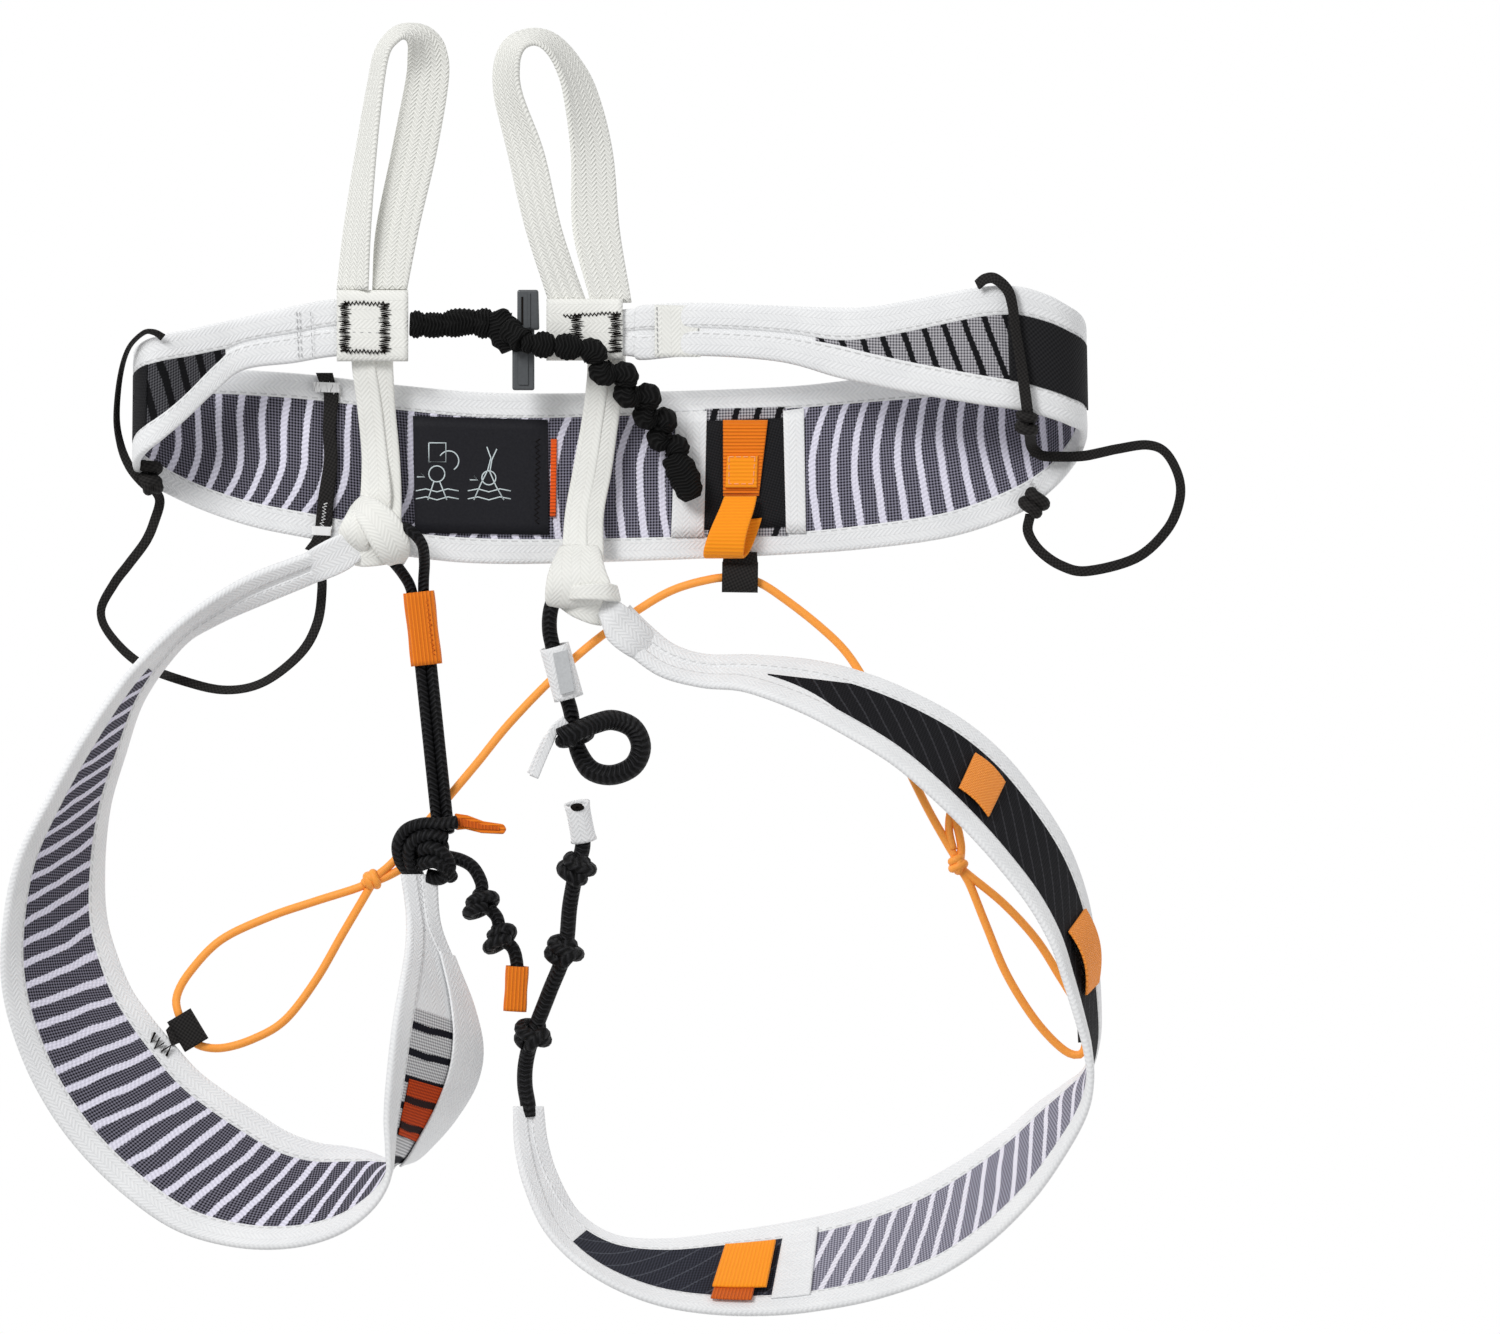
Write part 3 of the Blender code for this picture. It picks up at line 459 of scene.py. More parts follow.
ORANGE_WEB = grosgrain("orange_webbing", (0.92, 0.235, 0.006), (0.62, 0.11, 0.003), 1.2, lengthwise=True)
ORANGE_TAB = grosgrain("orange_tab", (0.95, 0.235, 0.003), (0.78, 0.14, 0.002), 1.1)
LABEL_STRIP = grosgrain("label_strip", (0.95, 0.125, 0.008), (0.75, 0.07, 0.004), 1.1)
# painted light: a brighter, lit copy of the orange tab grosgrain, for tab faces and folds that catch the light
ORANGE_PAINTED_LIT = grosgrain("orange_tab_painted_lit", (1.0, 0.33, 0.004), (0.95, 0.25, 0.003), 1.2, depth=0.06)
# painted shade: a darker copy of the orange tab grosgrain, for tab folds and undersides that fall in shade
ORANGE_PAINTED_SHADE = grosgrain("orange_tab_painted_shade", (0.72, 0.13, 0.004), (0.50, 0.07, 0.002), 1.1)
ORANGE_KNIT = plain_weave("orange_elastic_band", (0.85, 0.22, 0.02), (1.0, 0.38, 0.06), pitch=1.3, lean=0.3, depth=0.16)
ORANGE_CORD = solid("orange_elastic", (1.0, 0.31, 0.045), 0.5, 0.3, 0.02)
CORD = braid("black_braid", (0.002, 0.002, 0.0022), (0.015, 0.015, 0.017), length=1.75, count=2, depth=0.2)
LACE = braid("black_lace", (0.002, 0.002, 0.002), (0.012, 0.012, 0.012), length=1.1, count=4, depth=0.22, rough=0.85)
PLASTIC = solid("toggle_plastic", (0.055, 0.06, 0.065), 0.42, 0.5, 0.03)
THREAD_BLACK = solid("black_thread", (0.008, 0.006, 0.005), 0.8, 0.1)
THREAD_WHITE = solid("white_thread", (0.85, 0.85, 0.85), 0.7)
THREAD_PEACH = solid("peach_thread", (0.98, 0.42, 0.20), 0.6)
THREAD_GREY = solid("grey_thread", (0.45, 0.45, 0.46), 0.7)
LABEL = solid("label_film", (0.006, 0.006, 0.009), 0.6, 0.15, 0.006)
LABEL_LINE = solid("label_line", (0.62, 0.70, 0.72), 0.6)

# ================================================================ geometry helpers
SCENE = bpy.context.scene.collection


def build(name, verts, faces, uvs, mat, body=None, smooth_all=True, flat_faces=()):
    mesh = bpy.data.meshes.new(name)
    mesh.from_pydata([tuple(v) for v in verts], [], faces)
    for layer, values in uvs.items():
        data = mesh.uv_layers.new(name=layer).data
        k = 0
        for face in faces:
            for j in range(len(face)):
                data[k].uv = values(face, j)
                k += 1
    mesh.materials.append(mat)
    if smooth_all:
        mesh.polygons.foreach_set("use_smooth", [True] * len(mesh.polygons))
        for k in flat_faces:
            mesh.polygons[k].use_smooth = False
    obj = bpy.data.objects.new(name, mesh)
    SCENE.objects.link(obj)
    if body:
        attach(obj, body)
    return obj


def rounded(width, thick, across=8, arc=3):
    """A flat rounded profile as (x, z) in metres, going once round."""
    r = min(thick / 2, width / 2)
    half = width / 2 - r
    points = [(-half + 2 * half * k / across, r) for k in range(across + 1)]
    points += [(half + r * math.sin(math.pi * k / (arc * 2)), r * math.cos(math.pi * k / (arc * 2))) for k in range(1, arc * 2)]
    points += [(half - 2 * half * k / across, -r) for k in range(across + 1)]
    points += [(-half - r * math.sin(math.pi * k / (arc * 2)), -r * math.cos(math.pi * k / (arc * 2))) for k in range(1, arc * 2)]
    return points


def loft(name, frames, mat, body, across=8, crown=0.0):
    """A closed flat strip. frames: (middle, across unit, normal unit, width, thickness), in metres."""
    verts, mm, unit = [], [], []
    run = 0.0
    count = 0
    for k, (mid, side, normal, width, thick) in enumerate(frames):
        if k:
            run += (mid - frames[k - 1][0]).length * 1000
        shape = rounded(width, thick, across)
        count = len(shape)
        for x, z in shape:
            lift = crown * MM * (1 - (2 * x / width) ** 2) * (1 if z > 0 else 0)
            verts.append(mid + side * x + normal * (z + lift))
            mm.append((run, x * 1000))
            unit.append((run, 2 * x / width))
    faces = []
    for k in range(len(frames) - 1):
        for j in range(count):
            a, b = k * count + j, k * count + (j + 1) % count
            faces.append((a, a + count, b + count, b))
    last = (len(frames) - 1) * count
    faces.append(tuple(range(count)))
    faces.append(tuple(last + j for j in reversed(range(count))))
    flats = (len(faces) - 2, len(faces) - 1)
    obj = build(name, verts, faces, {"mm": lambda f, j: mm[f[j]], "unit": lambda f, j: unit[f[j]]}, mat, None, True, flats)
    turn_out(obj)
    if body:
        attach(obj, body)
    return obj


def turn_out(obj):
    """Faces outward: the signed volume decides."""
    mesh = obj.data
    volume = 0.0
    for p in mesh.polygons:
        o = mesh.vertices[p.vertices[0]].co
        for k in range(1, len(p.vertices) - 1):
            volume += o.dot(mesh.vertices[p.vertices[k]].co.cross(mesh.vertices[p.vertices[k + 1]].co))
    if volume < 0:
        mesh.flip_normals()


def strip(name, table, s0, s1, part, thick, mat, body, shift=0.0, fine=8, lo=None, hi=None, across=8, under=1.2, crown=0.0, wave=0.0, pitch=0.0, point=0.0):
    station = ruled(table)
    count = max(4, round((s1 - s0) * fine))
    frames = []
    for k in range(count + 1):
        s = s0 + (s1 - s0) * k / count
        a, b, normal, tape = station(s)
        width = (b - a).length
        tape = min(tape, width / 2 - 0.0001)
        if part == "edge1":
            f0, f1 = 0.0, tape / width
        elif part == "edge2":
            f0, f1 = 1 - tape / width, 1.0
        elif part == "skin":
            f0 = min((tape - under * MM) / width, 0.485)
            if point:
                ease = min(1.0, (s - s0) / point, (s1 - s) / point)
                f0 = 0.485 - (0.485 - f0) * ease
            f1 = 1 - f0
        else:
            f0, f1 = 0.0, 1.0
        if lo is not None:
            f0, f1 = lo, hi
        ripple = wave * math.sin(2 * math.pi * k * pitch / count) if wave else 0.0
        p, q = a.lerp(b, f0), a.lerp(b, f1)
        mid = (p + q) / 2 + normal * ((shift + ripple) * MM)
        frames.append((mid, (q - p).normalized(), normal, (q - p).length, thick * MM))
    return loft(name, frames, mat, body, across, crown)


def ribbon(name, route, wide, thick, mat, body, count, twist=()):
    """Flat webbing along a route; twist: angles in degrees spread along it."""
    points = [at(p) for p in route]
    angles = [Vector((math.radians(a), 0, 0)) for a in (twist or (0, 0))]
    frames = []
    for k in range(count + 1):
        s = (len(points) - 1) * k / count
        here = smooth(points, s)
        along = (smooth(points, s + 0.05) - smooth(points, s - 0.05)).normalized()
        side = along.cross(Vector((0, 0, 1))).normalized()
        up = side.cross(along).normalized()
        turn = smooth(angles, (len(angles) - 1) * k / count).x
        new = side * math.cos(turn) + up * math.sin(turn)
        frames.append((here, new, new.cross(along).normalized(), wide * MM, thick * MM))
    return loft(name, frames, mat, body, 4)


def sweep(name, path, radius, mat, body, sides=14, caps=True, flat=1.0):
    """A mesh tube along points; radius is a number or a function of the share of its length, in mm."""
    size = radius if callable(radius) else (lambda t: radius)
    tangents = []
    for k in range(len(path)):
        d = path[min(k + 1, len(path) - 1)] - path[max(k - 1, 0)]
        tangents.append(d.normalized() if d.length > 1e-9 else Vector((1, 0, 0)))
    side = tangents[0].cross(Vector((0, 0, 1)))
    if side.length < 1e-3:
        side = tangents[0].cross(Vector((0, 1, 0)))
    side.normalize()
    total = sum((path[k + 1] - path[k]).length for k in range(len(path) - 1))
    verts, unit = [], []
    run = 0.0
    for k, here in enumerate(path):
        if k:
            run += (here - path[k - 1]).length
            side = (side - tangents[k] * side.dot(tangents[k])).normalized()
        up = side.cross(tangents[k])
        r = size(run / total if total else 0) * MM
        for j in range(sides):
            a = 2 * math.pi * j / sides
            verts.append(here + side * (math.cos(a) * r) + up * (math.sin(a) * r * flat))
            unit.append((run * 1000, j / sides))
    faces = []
    for k in range(len(path) - 1):
        for j in range(sides):
            a, b = k * sides + j, k * sides + (j + 1) % sides
            faces.append((a, a + sides, b + sides, b))
    if caps:
        last = (len(path) - 1) * sides
        faces.append(tuple(range(sides)))
        faces.append(tuple(last + j for j in reversed(range(sides))))
    side_count = sides

    def uv_unit(face, j):
        u, t = unit[face[j]]
        if len(face) == 4 and t == 0 and j in (2, 3):
            t = 1.0
        return (u, t)

    def uv_mm(face, j):
        u, t = uv_unit(face, j)
        return (u, t * 2 * math.pi * size(0.5))

    obj = build(name, verts, faces, {"mm": uv_mm, "unit": uv_unit}, mat, None, True, (len(faces) - 2, len(faces) - 1) if caps else ())
    turn_out(obj)
    if body:
        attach(obj, body)
    return obj


def trace(route, count):
    points = [at(p) for p in route]
    return [smooth(points, (len(points) - 1) * k / count) for k in range(count + 1)]


def spread(route, count):
    """Points equally far apart along the smooth route."""
    dense = trace(route, count * 6)
    runs = [0.0]
    for k in range(len(dense) - 1):
        runs.append(runs[-1] + (dense[k + 1] - dense[k]).length)
    out, j = [], 0
    for k in range(count + 1):
        want = runs[-1] * k / count
        while j < len(runs) - 2 and runs[j + 1] < want:
            j += 1
        gap = runs[j + 1] - runs[j]
        out.append(dense[j].lerp(dense[j + 1], (want - runs[j]) / gap if gap > 0 else 0))
    return out


def wrap(name, centre, axis, major, minor, mat, body, turns=1.3, pitch=3.0, start=0.0, squash=1.0, sides=12):
    """A few turns of cord round an axis, for a knot."""
    mid = at(centre)
    axis = Vector(axis).normalized()
    side = axis.cross(Vector((0, 0, 1)))
    if side.length < 0.05:
        side = Vector((1, 0, 0))
    side.normalize()
    up = side.cross(axis)
    path = []
    steps = int(28 * turns)
    for k in range(steps + 1):
        t = k / steps
        a = start + 2 * math.pi * turns * t
        ease = min(1.0, 6 * t, 6 * (1 - t))
        r = major * MM * (0.55 + 0.45 * ease)
        path.append(mid + axis * ((t - 0.5) * pitch * turns * MM) + side * (math.cos(a) * r) + up * (math.sin(a) * r * squash))
    return sweep(name, path, minor, mat, body, sides)


def stitches(name, points, d, mat, body):
    """Thread lying along points: one small tube."""
    return sweep(name, points, d / 2, mat, body, 6)


def zigzag(name, p0, p1, wide, pitch, d, mat, body):
    """A bar tack: thread to and fro across a line."""
    a, b = at(p0), at(p1)
    along = (b - a).normalized()
    side = along.cross(Vector((0, 0, 1))).normalized() * (wide / 2 * MM)
    count = max(2, int((b - a).length * 1000 / pitch))
    path = []
    for k in range(count + 1):
        jitter = 1 + 0.42 * math.sin(k * 12.9898) * math.cos(k * 4.1)
        path.append(a.lerp(b, k / count) + side * (jitter if k % 2 else -jitter))
    return stitches(name, path, d, mat, body)


def dashes(name, route, on, off, d, mat, body):
    """A row of stitches as separate short threads in one piece."""
    points = [at(p) for p in route]
    verts, faces = [], []
    for i in range(len(points) - 1):
        a, b = points[i], points[i + 1]
        along = (b - a).normalized()
        side = along.cross(Vector((0, 0, 1))).normalized() * (d / 2 * MM)
        up = Vector((0, 0, d / 2 * MM))
        run, end = 0.0, (b - a).length * 1000
        while run < end - on * 0.5:
            p, q = a + along * (run * MM), a + along * (min(run + on, end) * MM)
            base = len(verts)
            for c in (p, q):
                verts.extend([c - side, c + up, c + side, c - up])
            faces.extend([(base + k, base + 4 + k, base + 4 + (k + 1) % 4, base + (k + 1) % 4) for k in range(4)])
            faces.extend([(base, base + 1, base + 2, base + 3), (base + 7, base + 6, base + 5, base + 4)])
            run += on + off
    return build(name, verts, faces, {}, mat, body, False)


def patch(name, corners, z, thick, mat, body, across=6, long_axis=0):
    """A flat four-cornered patch: corners go round, first side is its width."""
    a, b, c, d = [at((u, v, z)) for u, v in corners]
    rows = 10
    frames = []
    for k in range(rows + 1):
        t = k / rows
        p, q = a.lerp(d, t), b.lerp(c, t)
        frames.append(((p + q) / 2, (q - p).normalized(), Vector((0, 0, 1)), (q - p).length, thick * MM))
    return loft(name, frames, mat, body, across)


def slab(name, corners, z, thick, mat, body, bevel=0.3):
    mesh = bpy.data.meshes.new(name)
    mesh.from_pydata([tuple(at((u, v, z))) for u, v in corners], [], [tuple(range(len(corners)))[::-1]])
    layer = mesh.uv_layers.new(name="mm").data
    for k, loop in enumerate(mesh.loops):
        co = mesh.vertices[loop.vertex_index].co
        layer[k].uv = (co.x * 1000, co.y * 1000)
    mesh.materials.append(mat)
    obj = bpy.data.objects.new(name, mesh)
    SCENE.objects.link(obj)
    mod = obj.modifiers.new("thickness", "SOLIDIFY")
    mod.thickness = thick * MM
    mod.offset = 0.0
    edge = obj.modifiers.new("edges", "BEVEL")
    edge.width = bevel * MM
    edge.segments = 3
    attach(obj, body)
    return obj


def flat_tube(name, p0, p1, half_wide, half_high, wall, mat, body, square=3.0, around=40, along=14, flare=0.0, wavy=0.0):
    """A flat open tube with real wall thickness."""
    a, b = at(p0), at(p1)
    axis = (b - a).normalized()
    side = axis.cross(Vector((0, 0, 1))).normalized()
    up = side.cross(axis).normalized()
    long = (b - a).length
    rings = [(k / along, 0.0) for k in range(along + 1)] + [(1 - k / along, wall) for k in range(along + 1)]
    verts, mm = [], []
    for t, inner in rings:
        mid = a.lerp(b, t)
        grow = 1 + flare * (2 * t - 1) ** 4 + wavy * math.sin(9 * t)
        for j in range(around):
            w = 2 * math.pi * j / around
            c, s = math.cos(w), math.sin(w)
            x = math.copysign(abs(c) ** (2 / square), c) * (half_wide * grow - inner) * MM
            z = math.copysign(abs(s) ** (2 / square), s) * (half_high - inner) * MM
            verts.append(mid + side * x + up * z)
            mm.append((t * long * 1000, x * 1000))
    faces = []
    total = len(rings)
    for k in range(total):
        for j in range(around):
            p, q = k * around + j, k * around + (j + 1) % around
            r, s2 = ((k + 1) % total) * around + j, ((k + 1) % total) * around + (j + 1) % around
            faces.append((p, r, s2, q))
    obj = build(name, verts, faces, {"mm": lambda f, j: mm[f[j]], "unit": lambda f, j: mm[f[j]]}, mat, None)
    turn_out(obj)
    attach(obj, body)
    return obj


def blob(name, centre, radii, mat, body, turn=0.0):
    mid = at(centre)
    verts, faces, ring, rows = [], [], 28, 16
    for k in range(1, rows):
        p = math.pi * k / rows
        for j in range(ring):
            q = 2 * math.pi * j / ring
            x, y, z = math.sin(p) * math.cos(q), math.sin(p) * math.sin(q), math.cos(p)
            r = 1 - 0.06 * (0.5 + 0.5 * math.cos(4 * q + 3 * p))
            x, y, z = x * r * radii[0] * MM, y * r * radii[1] * MM, z * r * radii[2] * MM
            verts.append(mid + Vector((x * math.cos(turn) - y * math.sin(turn), x * math.sin(turn) + y * math.cos(turn), z)))
    for k in range(rows - 2):
        for j in range(ring):
            a, b = k * ring + j, k * ring + (j + 1) % ring
            faces.append((a, a + ring, b + ring, b))
    faces.append(tuple(reversed(range(ring))))
    faces.append(tuple((rows - 2) * ring + j for j in range(ring)))
    uv = lambda f, j: (verts[f[j]].x * 1000, verts[f[j]].y * 1000)
    obj = build(name, verts, faces, {"mm": uv, "unit": uv}, mat, None)
    turn_out(obj)
    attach(obj, body)
    return obj


def stands(obj, *names):
    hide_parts(*names)
    return obj


# ================================================================ cords
ELASTIC = 2.7


def cord(name, route, d, mat, body, count=60, size=None, nodes=(), sides=14):
    path = spread(route, count)
    obj = sweep(name, path, size or d / 2, mat, body, sides)
    if nodes:
        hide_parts(*nodes)
    return obj


main_left = cord("rear_elastic_left_run", [(738, 577, 3.1), (712, 579, 3.1), (673, 590, 1.9), (635, 612, 1.75), (590, 645, 1.75), (548, 683, 1.75),
                 (508, 725, 1.75), (478, 762, 1.75), (452, 793, 1.75), (429, 820, 1.75), (404, 850, 1.75), (389, 866, 1.9), (374, 878, 3.0)],
                 ELASTIC, ORANGE_CORD, None, 90, nodes=("elastic_main",))
main_right = cord("rear_elastic_right_run", [(738, 577, 3.1), (760, 583, 2.6), (786, 600, 1.75), (818, 625, 1.75), (845, 651, 1.75), (866, 683, 1.75),
                  (888, 726, 1.75), (911, 775, 1.75), (929, 811, 1.75), (947, 843, 2.0), (956, 858, 3.0)],
                  ELASTIC, ORANGE_CORD, None, 80)
loop_left = cord("leg_elastic_left", [(372, 876, 3.4), (362, 886, 2.6), (316, 901, 1.75), (269, 917, 1.75), (221, 940, 1.75), (190, 972, 1.75),
                 (177, 996, 2.0), (179, 1014, 2.95), (188, 1030, 2.95), (197, 1044, 2.8), (221, 1048, 1.9), (253, 1039, 1.75),
                 (285, 1020, 1.75), (316, 980, 1.75), (342, 935, 1.75), (362, 901, 2.4), (372, 884, 3.4)], ELASTIC, ORANGE_CORD, None,
                 120, nodes=("elastic_left",))
loop_right = cord("leg_elastic_right", [(958, 866, 3.4), (970, 876, 2.4), (1004, 904, 1.75), (1036, 939, 1.75), (1059, 975, 1.75), (1076, 1003, 2.2),
                  (1085, 1022, 2.95), (1086, 1040, 2.95), (1081, 1054, 2.4), (1064, 1050, 1.8), (1036, 1021, 1.75), (1007, 975, 1.75),
                  (986, 925, 1.75), (970, 885, 2.2), (960, 868, 3.2)], ELASTIC, ORANGE_CORD, None, 90,
                  nodes=("elastic_right",))
second_left = cord("rear_elastic_left_tail", [(374, 882, 2.2), (392, 874, 1.8), (412, 862, 1.75), (428, 846, 1.75), (438, 828, 1.75), (446, 812, 1.75)],
                   ELASTIC, ORANGE_CORD, None, 30)
second_right = cord("rear_elastic_right_tail", [(960, 862, 3.0), (961, 846, 2.2), (957, 826, 1.9), (951, 812, 1.8), (949, 830, 1.8), (953, 850, 2.6)], ELASTIC,
                    ORANGE_CORD, None, 30)
knots_left = [
    wrap("rear_elastic_knot_left_a", (373, 880, 3.6), (0.75, 0.5, 0), 2.1, 1.35, ORANGE_CORD, None, 1.6, 2.2, 0.6, 0.9),
    wrap("rear_elastic_knot_left_b", (371, 880, 3.6), (0.2, 1, 0), 1.9, 1.35, ORANGE_CORD, None, 1.2, 2.2, 2.2, 0.9)]
knots_right = [
    wrap("rear_elastic_knot_right_a", (957, 864, 3.6), (0.6, -0.8, 0), 2.1, 1.35, ORANGE_CORD, None, 1.6, 2.2, 0.6, 0.9),
    wrap("rear_elastic_knot_right_b", (957, 865, 3.6), (1, 0.1, 0), 1.9, 1.35, ORANGE_CORD, None, 1.2, 2.2, 2.2, 0.9)]
for obj in [main_left, loop_left, second_left] + knots_left:
    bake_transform(obj)
for obj in [main_right, loop_right, second_right] + knots_right:
    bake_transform(obj)

cord("closing_strand_left_a", [(404, 527, 19), (414, 533, 20.5), (423, 545, 17), (425, 562, 11.5), (424, 580, 8.2), (424, 596, 7.2), (426, 611, 7.0), (447.5, 815, 7.0), (449, 826, 8)],
     3.6, CORD, "leg_left", count=70, nodes=("closing_cord_left_b",))
cord("closing_strand_left_b", [(394, 562, 14), (402, 572, 11), (409.5, 584, 8.4), (413, 596, 7.2), (415, 612, 7.0), (436.5, 816, 7.0), (438, 828, 8)],
     3.6, CORD, "leg_left", count=64, nodes=("closing_cord_left_a",))
tail_route = [(446, 856, 8), (462, 860, 7), (474, 868, 6.4), (482, 884, 6.6), (482, 900, 7), (497, 917, 6.2), (501, 936, 6.8), (513, 948, 5.6), (517, 963, 4.6), (517, 975, 4.4)]
tail_bits = [
    wrap("tail_knot_a", (481, 905, 7.0), (0.35, -0.8, 0.35), 4.6, 2.1, CORD, "tail_left", 1.25, 2.6, 0.4, 0.8),
    wrap("tail_knot_a_turn", (483, 902, 7.2), (0.9, 0.35, 0.2), 2.9, 2.0, CORD, "tail_left", 0.9, 2.0, 1.2, 0.8),
    wrap("tail_knot_b", (500, 939, 7.0), (0.45, -0.75, 0.35), 4.4, 2.1, CORD, "tail_left", 1.25, 2.6, 0.9, 0.8),
    wrap("tail_knot_b_turn", (502, 936, 7.2), (0.9, 0.35, 0.2), 2.8, 2.0, CORD, "tail_left", 0.9, 2.0, 1.6, 0.8)]
tail_cap = flat_tube("tail_end_sleeve", (517.5, 966, 4.4), (515, 1011, 3.6), 3.7, 2.6, 1.0, ORANGE_WEB, "tail_left", square=3.4, wavy=0.02)
stands(tail_cap, "tail_sleeve_left")
cord("tail_strand_left", tail_route, 4.2, CORD, "tail_left", count=50, nodes=("tail_cord_left",))

right_route = [(559, 592, 11.5), (553, 603, 12.2), (550, 617, 11.2), (550, 632, 9.6), (553, 647, 9.0), (557, 668, 8.3), (565, 692, 7.5), (571, 712, 6.0), (574, 732, 4.0),
               (579, 752, 3.4), (591, 770, 3.3), (612, 775, 3.3), (633, 766, 3.3), (641, 747, 3.3), (633, 728, 3.6),
               (613, 720, 5.2), (594, 724, 8.2), (577, 731, 11.0), (560, 738, 10.6)]


def right_size(t):
    return 2.45 + 0.85 * min(1.0, max(0.0, (t - 0.42) / 0.10))


white_tab = ribbon("closing_tab_white", [(566, 720, 9.2), (555, 729, 9.6), (548, 744, 8.8), (541, 760, 7.6), (534, 777, 7.0)], 3.1, 1.0, TAPE, "closure_right", 30)
stands(white_tab, "pull_tab_right")
ribbon("closing_tab_white_back", [(562, 726, 7.8), (548, 738, 7.4), (538, 758, 6.6), (531, 774, 6.2)], 2.6, 0.9, TAPE, "closure_right", 24)
cord("closing_strand_right", right_route, 5.8, CORD, "closure_right", count=110, size=right_size, nodes=("closing_cord_right",))

kn = [(577, 868, 6.8), (565, 951, 6.6), (533, 1035, 6.4)]
for k, c in enumerate(kn):
    tilt = (0.25, 0.9, 0.3)
    wrap(f"adjust_knot_{k}_a", c, tilt, 4.2, 2.3, CORD, "knotted_right", 1.5, 3.8, 0.3 + k, 0.85)
    wrap(f"adjust_knot_{k}_b", (c[0] + 3, c[1] + 3, c[2] + 0.8), (0.8, -0.6, 0.2), 3.2, 2.2, CORD, "knotted_right", 1.1, 3.4, 1.0 + k, 0.9)
end_cap = flat_tube("adjust_end_sleeve", (577, 803, 8.4), (584, 840, 4.6), 3.9, 3.3, 0.8, TAPE, "knotted_right", square=2.3, flare=0.1)
stands(end_cap, "cord_end_sleeve_right")
# painted shade: a black blob in the sleeve's mouth, for the dark bore round the cord's end
blob("adjust_end_bore_painted_shade", (577.6, 807, 11.0), (2.3, 1.35, 1.1), THREAD_BLACK, "knotted_right")
cord("adjust_strand_right", [(529, 1116, 5.6), (528, 1103, 5.8), (525, 1084, 4.6), (526, 1062, 3.6), (533, 1035, 6.2), (549, 993, 3.2), (565, 951, 6.4),
                             (570, 905, 3.4), (577, 868, 6.6), (583, 843, 4.6), (578, 808, 7.6)], 5.0, CORD, "knotted_right", count=110,
     nodes=("knotted_cord_right",))

BEADS = [(523, 344, 26.8), (543, 346, 27.2), (567, 348, 27.4), (593, 353, 26.8), (603, 373, 25.2), (625, 376, 23), (627, 395, 20.5), (648, 397, 17.5), (646, 416, 14.6), (664, 421, 12.2),
         (660, 438, 10.4), (676, 448, 9.4), (680, 464, 9.0), (690, 480, 8.8), (693, 492, 8.6)]


def bead_size(path, count, thin, thick):
    """Radius along a path traced with equal steps between count beads: thick at each bead, thin between two."""
    runs = [0.0]
    for k in range(len(path) - 1):
        runs.append(runs[-1] + (path[k + 1] - path[k]).length)

    def size(t):
        want, j = t * runs[-1], 0
        while j < len(runs) - 2 and runs[j + 1] < want:
            j += 1
        s = j / (len(path) - 1) * count
        full = min(1.0, 8.5 * (1 - t) + 0.3, 12 * t + 0.6)
        return (thin + (thick - thin) * abs(math.cos(math.pi * s)) ** 0.55 + 0.17 * math.sin(2 * math.pi * 4.5 * s)) * full

    return size


bead_path = trace(BEADS, (len(BEADS) - 1) * 26)
lace_stop = sweep("lace_end_stop", trace([(672, 455, 9.4), (682, 472, 9.2), (690, 492, 8.8), (693, 499, 8.6)], 24), lambda t: 5.0 * max(0.2, math.sin(math.pi * (0.12 + 0.8 * t))) ** 0.35 + 0.25 * math.sin(24 * t), LACE, "lace_end", 20)
lace = sweep("lace_tail_wound", bead_path, bead_size(bead_path, len(BEADS) - 1, 2.3, 4.3), LACE, "lace_end", 20)
stands(lace, "lace_tail")
sweep("lace_collar", trace([(509, 331, 22.5), (516, 336, 24.6), (524, 343, 26)], 12), lambda t: 4.0 + 0.5 * math.sin(9 * t), LACE, "belt", 18)

# ================================================================ waist belt
END = len(BELT) - 1
stands(strip("belt_upper_binding", BELT, 0, END, "edge1", 2.4, TAPE_IN1, "belt", fine=10, crown=0.25), "belt_tape_top")
stands(strip("belt_lower_binding", BELT, 0, END, "edge2", 2.4, TAPE_IN2, "belt", fine=10, crown=0.25), "belt_tape_bottom")
halfway = min((k / 20 for k in range(160, 480)), key=lambda s: abs(sum((p - at((480, 480, 1.2))).length for p in ruled(BELT)(s)[:2])))
stands(strip("belt_inner_face", BELT, 3.6, halfway, "skin", 0.5, LILAC, "belt", shift=-SKIN_APART, fine=10, across=16), "belt_skin_inner")
strip("belt_inner_face_right", BELT, halfway, 32.2, "skin", 0.5, LILAC_R, "belt", shift=-SKIN_APART, fine=10, across=16)
stands(strip("belt_outer_face", BELT, 11.0, 32.4, "skin", 0.5, OUTER_GREY, "belt", shift=SKIN_APART, fine=10, across=16), "belt_skin_outer")
strip("belt_outer_face_left", BELT, 3.6, 11.0, "skin", 0.5, OUTER_DARK, "belt", shift=SKIN_APART, fine=10, across=16)
stands(strip("belt_side_panel", BELT, 24.6, 28.3, "skin", 0.6, PANEL_GREY, "belt", shift=1.5, fine=12, across=12, under=0.6), "belt_panel_right")
strip("belt_side_panel_left", BELT, 6.9, 10.6, "skin", 0.5, PANEL, "belt", shift=1.2, fine=12, across=12, under=0.6)
stands(flat_tube("belt_end_left", (338, 326.6, 18), (409, 326.6, 18), 11.4, 3.0, 0.9, CREAM_FLAT, "belt", square=4.2), "belt_sleeve_left")
stands(flat_tube("belt_end_right", (547, 330.5, 18), (623, 330.5, 18), 9.9, 3.0, 0.8, CREAM_FLAT, "belt", square=4.0), "belt_sleeve_right")
Z = 21.05
